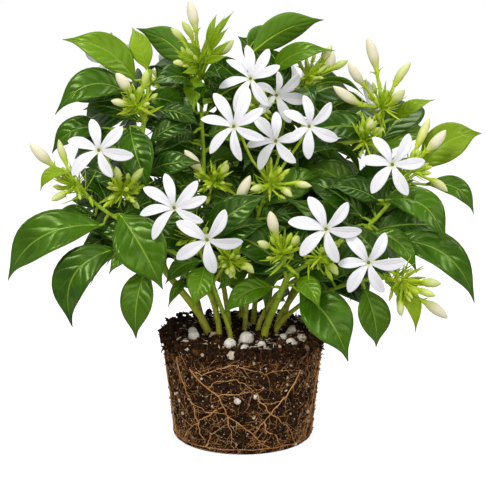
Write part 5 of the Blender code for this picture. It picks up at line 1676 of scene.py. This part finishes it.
def roughLump(bm, place, size, rng, levels=2, roughness=0.45):
    made = bmesh.ops.create_icosphere(bm, subdivisions=levels, radius=1.0)["verts"]
    stretch = Vector([rng.uniform(1 - roughness, 1 + roughness * 0.4) for _ in range(3)])
    seedPlace = Vector([rng.uniform(0, 50) for _ in range(3)])
    turn = Matrix.Rotation(rng.uniform(0, 6), 3, Vector((rng.uniform(-1, 1), rng.uniform(-1, 1), 1)))
    for vert in made:
        swell = 1 + roughness * noise.noise(vert.co * 1.7 + seedPlace)
        vert.co = place + turn @ Vector([vert.co[k] * stretch[k] for k in range(3)]) * (size * swell)


def onSoil(rng, widest, low, high):
    # A place anywhere on the soil's top, raised between low and high.
    reach = widest * math.sqrt(rng.random())
    return outward(rng.uniform(0, 360)) * reach + Vector((0, 0, ballShape["soilTop"] + rng.uniform(low, high)))


def makeRimLumps(rng):
    bm = bmesh.new()
    for number in range(rimLook["lumps"]):
        bearing = number * 360 / rimLook["lumps"] + rng.uniform(-3, 3)
        place = onBall(bearing, 57) * rng.uniform(0.86, 1.0)
        place.z = ballShape["soilTop"] - rimLook["lumpDrop"] + rng.uniform(-0.0022, 0.0018)
        roughLump(bm, place, rng.uniform(*rimLook["lumpSize"]), rng, roughness=0.9)
    for number in range(rimLook["heap"]):  # loose lumps on the far rim, two of three at the left
        left = number % 3 > 0
        bearing = rng.uniform(-150, -62) if left else rng.uniform(60, 175)
        rise = rng.uniform(-0.001, 0.0052 if left else 0.0025)
        reach = rng.uniform(*rimLook["heapReach"])
        place = outward(bearing) * reach + Vector((0, 0, ballShape["soilTop"] + rise))
        roughLump(bm, place, rng.uniform(*rimLook["heapSize"]), rng, roughness=0.95)
    mesh = meshOf("rimCrumbs", bm, "soil")
    tones = mesh.attributes.new("tone", "FLOAT", "POINT")
    tones.data.foreach_set("value", [0.3] * len(mesh.vertices))
    pieceOf("rimCrumbs", [mesh], ["root_ball"])


def makeChips(rng):
    slivers = []
    for _ in range(rimLook["spikes"]):  # bits that stick out of the side
        bearing = rng.uniform(0, 360)
        height = rng.choice((rng.uniform(54, 60), rng.uniform(46, 60), rng.uniform(3, 50)))
        way = (outward(bearing) * rng.uniform(0.3, 1) + anyWay(rng)).normalized()
        length = rng.uniform(*rimLook["spikeLength"])
        bend = Vector((0, 0, rng.uniform(-0.8, 0.8)))
        half, tone = rng.uniform(*rimLook["spikeHalf"]), rng.choice(rimLook["spikeTones"])
        slivers.append(curvedSpike(onBall(bearing, height, -0.0008), way, bend, length, half, tone))
    for _ in range(rimLook["chips"]):  # slivers that lie on top
        place = onSoil(rng, 0.0445, -0.0002, 0.0016)
        way = leaning(rng.uniform(0, 360), rng.uniform(-0.25, 0.5))
        half, length = rng.uniform(*rimLook["chipHalf"]), rng.uniform(*rimLook["chipLength"])
        bend = Vector((rng.uniform(-0.3, 0.3), 0, rng.uniform(-0.3, 0.3)))
        points = [place - way * length / 2, place + bend * 0.0006, place + way * length / 2]
        slivers.append(strand(points, [half * 0.5, half, half * 0.4], tone=rng.choice(rimLook["chipTones"])))
    for _ in range(rimLook["pale"]):  # pale slivers of bark and fibre
        place = onSoil(rng, 0.0435, 0.0006, 0.0020)
        way = leaning(rng.uniform(0, 360), rng.uniform(-0.15, 0.4))
        half, length = rng.uniform(*rimLook["paleHalf"]), rng.uniform(*rimLook["paleLength"])
        middle = place + Vector((0, 0, rng.uniform(0, 0.0004)))
        points = [place - way * length / 2, middle, place + way * length / 2]
        slivers.append(strand(points, [half * 0.6, half, half * 0.3], tone=1.0))
    for _ in range(rimLook["fringe"]):  # dark bits that stick out at the rim
        bearing = rng.uniform(0, 360)
        place = onBall(bearing, rng.uniform(52, 59.5), -0.0010)
        way = leaning(bearing + rng.uniform(-60, 60), rng.uniform(-0.5, 0.9))
        half, bend = rng.uniform(*rimLook["fringeHalf"]), Vector((0, 0, rng.uniform(-0.9, 0.9)))
        length, tone = rng.uniform(*rimLook["fringeLength"]), rng.choice(rimLook["fringeTones"])
        slivers.append(curvedSpike(place, way, bend, length, half, tone))
    mesh = swept("barkChips", slivers, Rows=4, Sides=4, Lumps=0.0004, Material=materials["soil"])
    pieceOf("barkChips", [mesh], ["root_ball"])


rimRng = random.Random(rimLook["seed"])
makeRimLumps(rimRng)
makeChips(rimRng)

perliteLook = dict(swell=1.05, lift=0.34, smooth=0.06, rough=0.10, seed=6)


def makePerlite():
    rng = random.Random(perliteLook["seed"])
    bm = bmesh.new()
    for x, z, depth, size in perliteTable:
        place = Vector((x * mm, -depth * mm, (z + size * perliteLook["lift"]) * mm))
        roughLump(bm, place, size * mm / 2 * perliteLook["swell"], rng, 4, perliteLook["smooth"])
    for bearing, height, size in sidePerliteTable:
        roughLump(bm, onBall(bearing, height, -0.0008), size * mm / 2, rng, 3, perliteLook["rough"])
    pieceOf("perlite", [meshOf("perlite", bm, "perlite", smooth=True)], ["root_ball"])


makePerlite()
print("soil made")

rootLook = dict(
    rows=40, sides=6, down=0.00038, across=0.00027, thinRoutes=(5, 6, 7, 8), wander=1.1,
    backHeights=(48, 36, 25, 14, 3.5),
    circleHalf=0.00028, circleHeight=(2.6, 4.2), flat=0.72,  # mm round the ball to a degree of bearing
    branchGap=3.2, branchStride=1.7, branchHalf=(0.00013, 0.00024), branchBend=0.22,
    twigs=2, twigStride=1.2, twigHalf=0.00011, twigBend=0.3,
    rootlets=1250, stride=(0.9, 2.0), half=(0.00008, 0.00018), bend=0.45, fineRows=8, fineSides=3, seed=29,
    flanks=0.44, bottomEdge=0.64, underRim=0.80,  # shares of the rootlets, each up to this
)


def between(start, end, share):
    # The bearing and height at a share of the way from one place on the ball to the next.
    return tuple(one + (other - one) * share for one, other in zip(start, end))


def rootLine(stations, lift, rng, wander):
    points = []
    for index, (bearing, height) in enumerate(stations):
        loose = wander if 0 < index < len(stations) - 1 else 0.0
        bearing += rng.uniform(-1, 1) * loose
        points.append(onBall(bearing, max(height + rng.uniform(-0.5, 0.5) * loose, 0.8), lift))
    return points


def thinRoot(rootlets, rng, start, heading, stride, steps, thick, bend):
    # A thin root over the ball's side, from one place on in a heading.
    bearing, height = start
    stations = []
    for _ in range(steps):
        stations.append((bearing, height))
        heading += rng.uniform(-bend, bend)
        bearing += math.cos(heading) * stride / rootLook["flat"]
        height = min(max(height + math.sin(heading) * stride, 1.0), 57.5)
    points = rootLine(stations, rng.uniform(-0.0001, 0.0003), rng, 0.3)
    rootlets.append(strand(points, tapered(len(points), thick, thick * 0.35), tone=rng.uniform(0.1, 1.0)))
    return stations, heading


def mainRoots(routes, rng):
    mains = []
    for number, route in enumerate(routes):
        thick = rootLook["across" if number in rootLook["thinRoutes"] else "down"]
        stations = [between(start, end, step / 3) for start, end in zip(route, route[1:]) for step in range(3)]
        points = rootLine([*stations, route[-1]], rootShape["radius"] * 0.6, rng, rootLook["wander"])
        mains.append(strand(points, tapered(len(points), thick, thick * 0.4), tone=rng.uniform(0.5, 1.0)))
    circle = [onBall(bearing + rng.uniform(-2, 2), rng.uniform(*rootLook["circleHeight"]), 0.0004)
              for bearing in range(0, 366, 9)]
    mains.append(strand(circle, [rootLook["circleHalf"]] * len(circle), tone=0.0))
    return mains


def branchRoots(rootlets, routes, rng):
    # Side branches, to one side and the other like a feather's, each with a few twigs.
    for route in routes:
        side = 1
        for start, end in zip(route, route[1:]):
            along, up = (end[0] - start[0]) * rootLook["flat"], end[1] - start[1]
            slope = math.atan2(up, along)
            count = max(1, int(math.hypot(along, up) / rootLook["branchGap"]))
            for step in range(count):
                place = between(start, end, (step + rng.random()) / count)
                side = -side
                path, heading = thinRoot(rootlets, rng, place, slope + side * rng.uniform(0.5, 1.0),
                                         rootLook["branchStride"], rng.randint(4, 8),
                                         rng.uniform(*rootLook["branchHalf"]), rootLook["branchBend"])
                for _ in range(rootLook["twigs"]):
                    thinRoot(rootlets, rng, rng.choice(path[1:]),
                             heading + rng.choice((-1, 1)) * rng.uniform(0.5, 1.0), rootLook["twigStride"],
                             rng.randint(3, 6), rootLook["twigHalf"], rootLook["twigBend"])


def fineRoots(rootlets, rng):
    for _ in range(rootLook["rootlets"]):
        pick = rng.random()
        down = pick < rootLook["flanks"]
        if down:
            place = rng.choice((-1, 1, 1)) * rng.uniform(48, 112), rng.uniform(6, 57)
        elif pick < rootLook["bottomEdge"]:
            place = rng.uniform(-180, 180), rng.uniform(1.2, 9)
        elif pick < rootLook["underRim"]:
            place = rng.uniform(-180, 180), rng.uniform(47, 57)
        else:
            place = rng.uniform(-180, 180), rng.uniform(4, 54)
        heading = rng.uniform(-2.4, -0.7) if down else rng.uniform(-math.pi, math.pi)
        thinRoot(rootlets, rng, place, heading, rng.uniform(*rootLook["stride"]), rng.randint(4, 7),
                 rng.uniform(*rootLook["half"]), rootLook["bend"])
        if rootLook["bottomEdge"] <= pick < rootLook["underRim"]:
            rootlets[-1]["tone"] = rng.uniform(0, 0.3)


def makeRoots():
    rng = random.Random(rootLook["seed"])
    routes = list(rootTable)
    for bearing in backRootBearings:
        drift = rng.choice((-1, 1)) * 4
        routes.append([(bearing + drift * k, height) for k, height in enumerate(rootLook["backHeights"])])
    mains, rootlets = mainRoots(routes, rng), []
    branchRoots(rootlets, routes, rng)
    fineRoots(rootlets, rng)
    big = swept("rootNet", mains, Rows=rootLook["rows"], Sides=rootLook["sides"], Lumps=0.0004,
                Material=materials["root"])
    pieceOf("rootNet", [big], ["root_net"])
    fine = swept("rootlets", rootlets, Rows=rootLook["fineRows"], Sides=rootLook["fineSides"],
                 Material=materials["root"])
    pieceOf("rootlets", [fine], ["root_net"])


makeRoots()
print("roots made")


# The floor and the light.

floorLook = dict(side=30.0, drop=0.0002, colour=(0.40, 0.40, 0.40), roughness=0.9, glow=0.835)
bm = bmesh.new()
bmesh.ops.create_grid(bm, x_segments=1, y_segments=1, size=floorLook["side"] / 2)
bmesh.ops.translate(bm, vec=(0, 0, -floorLook["drop"]), verts=bm.verts)
floorMesh = bpy.data.meshes.new("floor")
bm.to_mesh(floorMesh)
bm.free()
floor = bpy.data.objects.new("floor", floorMesh)
scene.collection.objects.link(floor)
floorMaterial, floorTree, floorSkin = newMaterial("floorPale")
floorSkin.inputs["Base Color"].default_value = (*floorLook["colour"], 1.0)
floorSkin.inputs["Roughness"].default_value = floorLook["roughness"]
floorSkin.inputs["Emission Color"].default_value = (1, 1, 1, 1)
floorSeen = floorTree.nodes.new("ShaderNodeLightPath").outputs["Is Camera Ray"]
floorTree.links.new(times(floorTree, floorSeen, floorLook["glow"]), floorSkin.inputs["Emission Strength"])
floorMesh.materials.append(floorMaterial)

lightLook = dict(
    world=0.38, backdrop=1.0, aim=(0, 0, 0.12),
    lamps=dict(
        key=dict(place=(-0.55, -0.75, 0.95), size=0.45, power=8.0),
        side=dict(place=(0.8, -0.35, 0.6), size=0.4, power=2.6),
        top=dict(place=(0.1, 0.30, 1.1), size=0.6, power=4.6),
        front=dict(place=(0.25, -1.25, 0.35), size=0.8, power=3.4),
    ),
)
world = bpy.data.worlds.new("studio")
scene.world = world
world.use_nodes = True
sky = world.node_tree.nodes["Background"]
sky.inputs[0].default_value = (1, 1, 1, 1)
seenPath = world.node_tree.nodes.new("ShaderNodeLightPath").outputs["Is Camera Ray"]
glow = ranged(world.node_tree, seenPath, 0, 1, lightLook["world"], lightLook["backdrop"], "LINEAR")
world.node_tree.links.new(glow, sky.inputs[1])
for label, values in lightLook["lamps"].items():
    lamp = bpy.data.lights.new(label, "AREA")
    lamp.size = values["size"]
    lamp.energy = values["power"]
    lampObject = bpy.data.objects.new(label, lamp)
    lampObject.location = values["place"]
    aim = Vector(lightLook["aim"]) - Vector(values["place"])
    lampObject.rotation_euler = aim.to_track_quat("-Z", "Y").to_euler()
    scene.collection.objects.link(lampObject)
scene.view_settings.view_transform = "Standard"
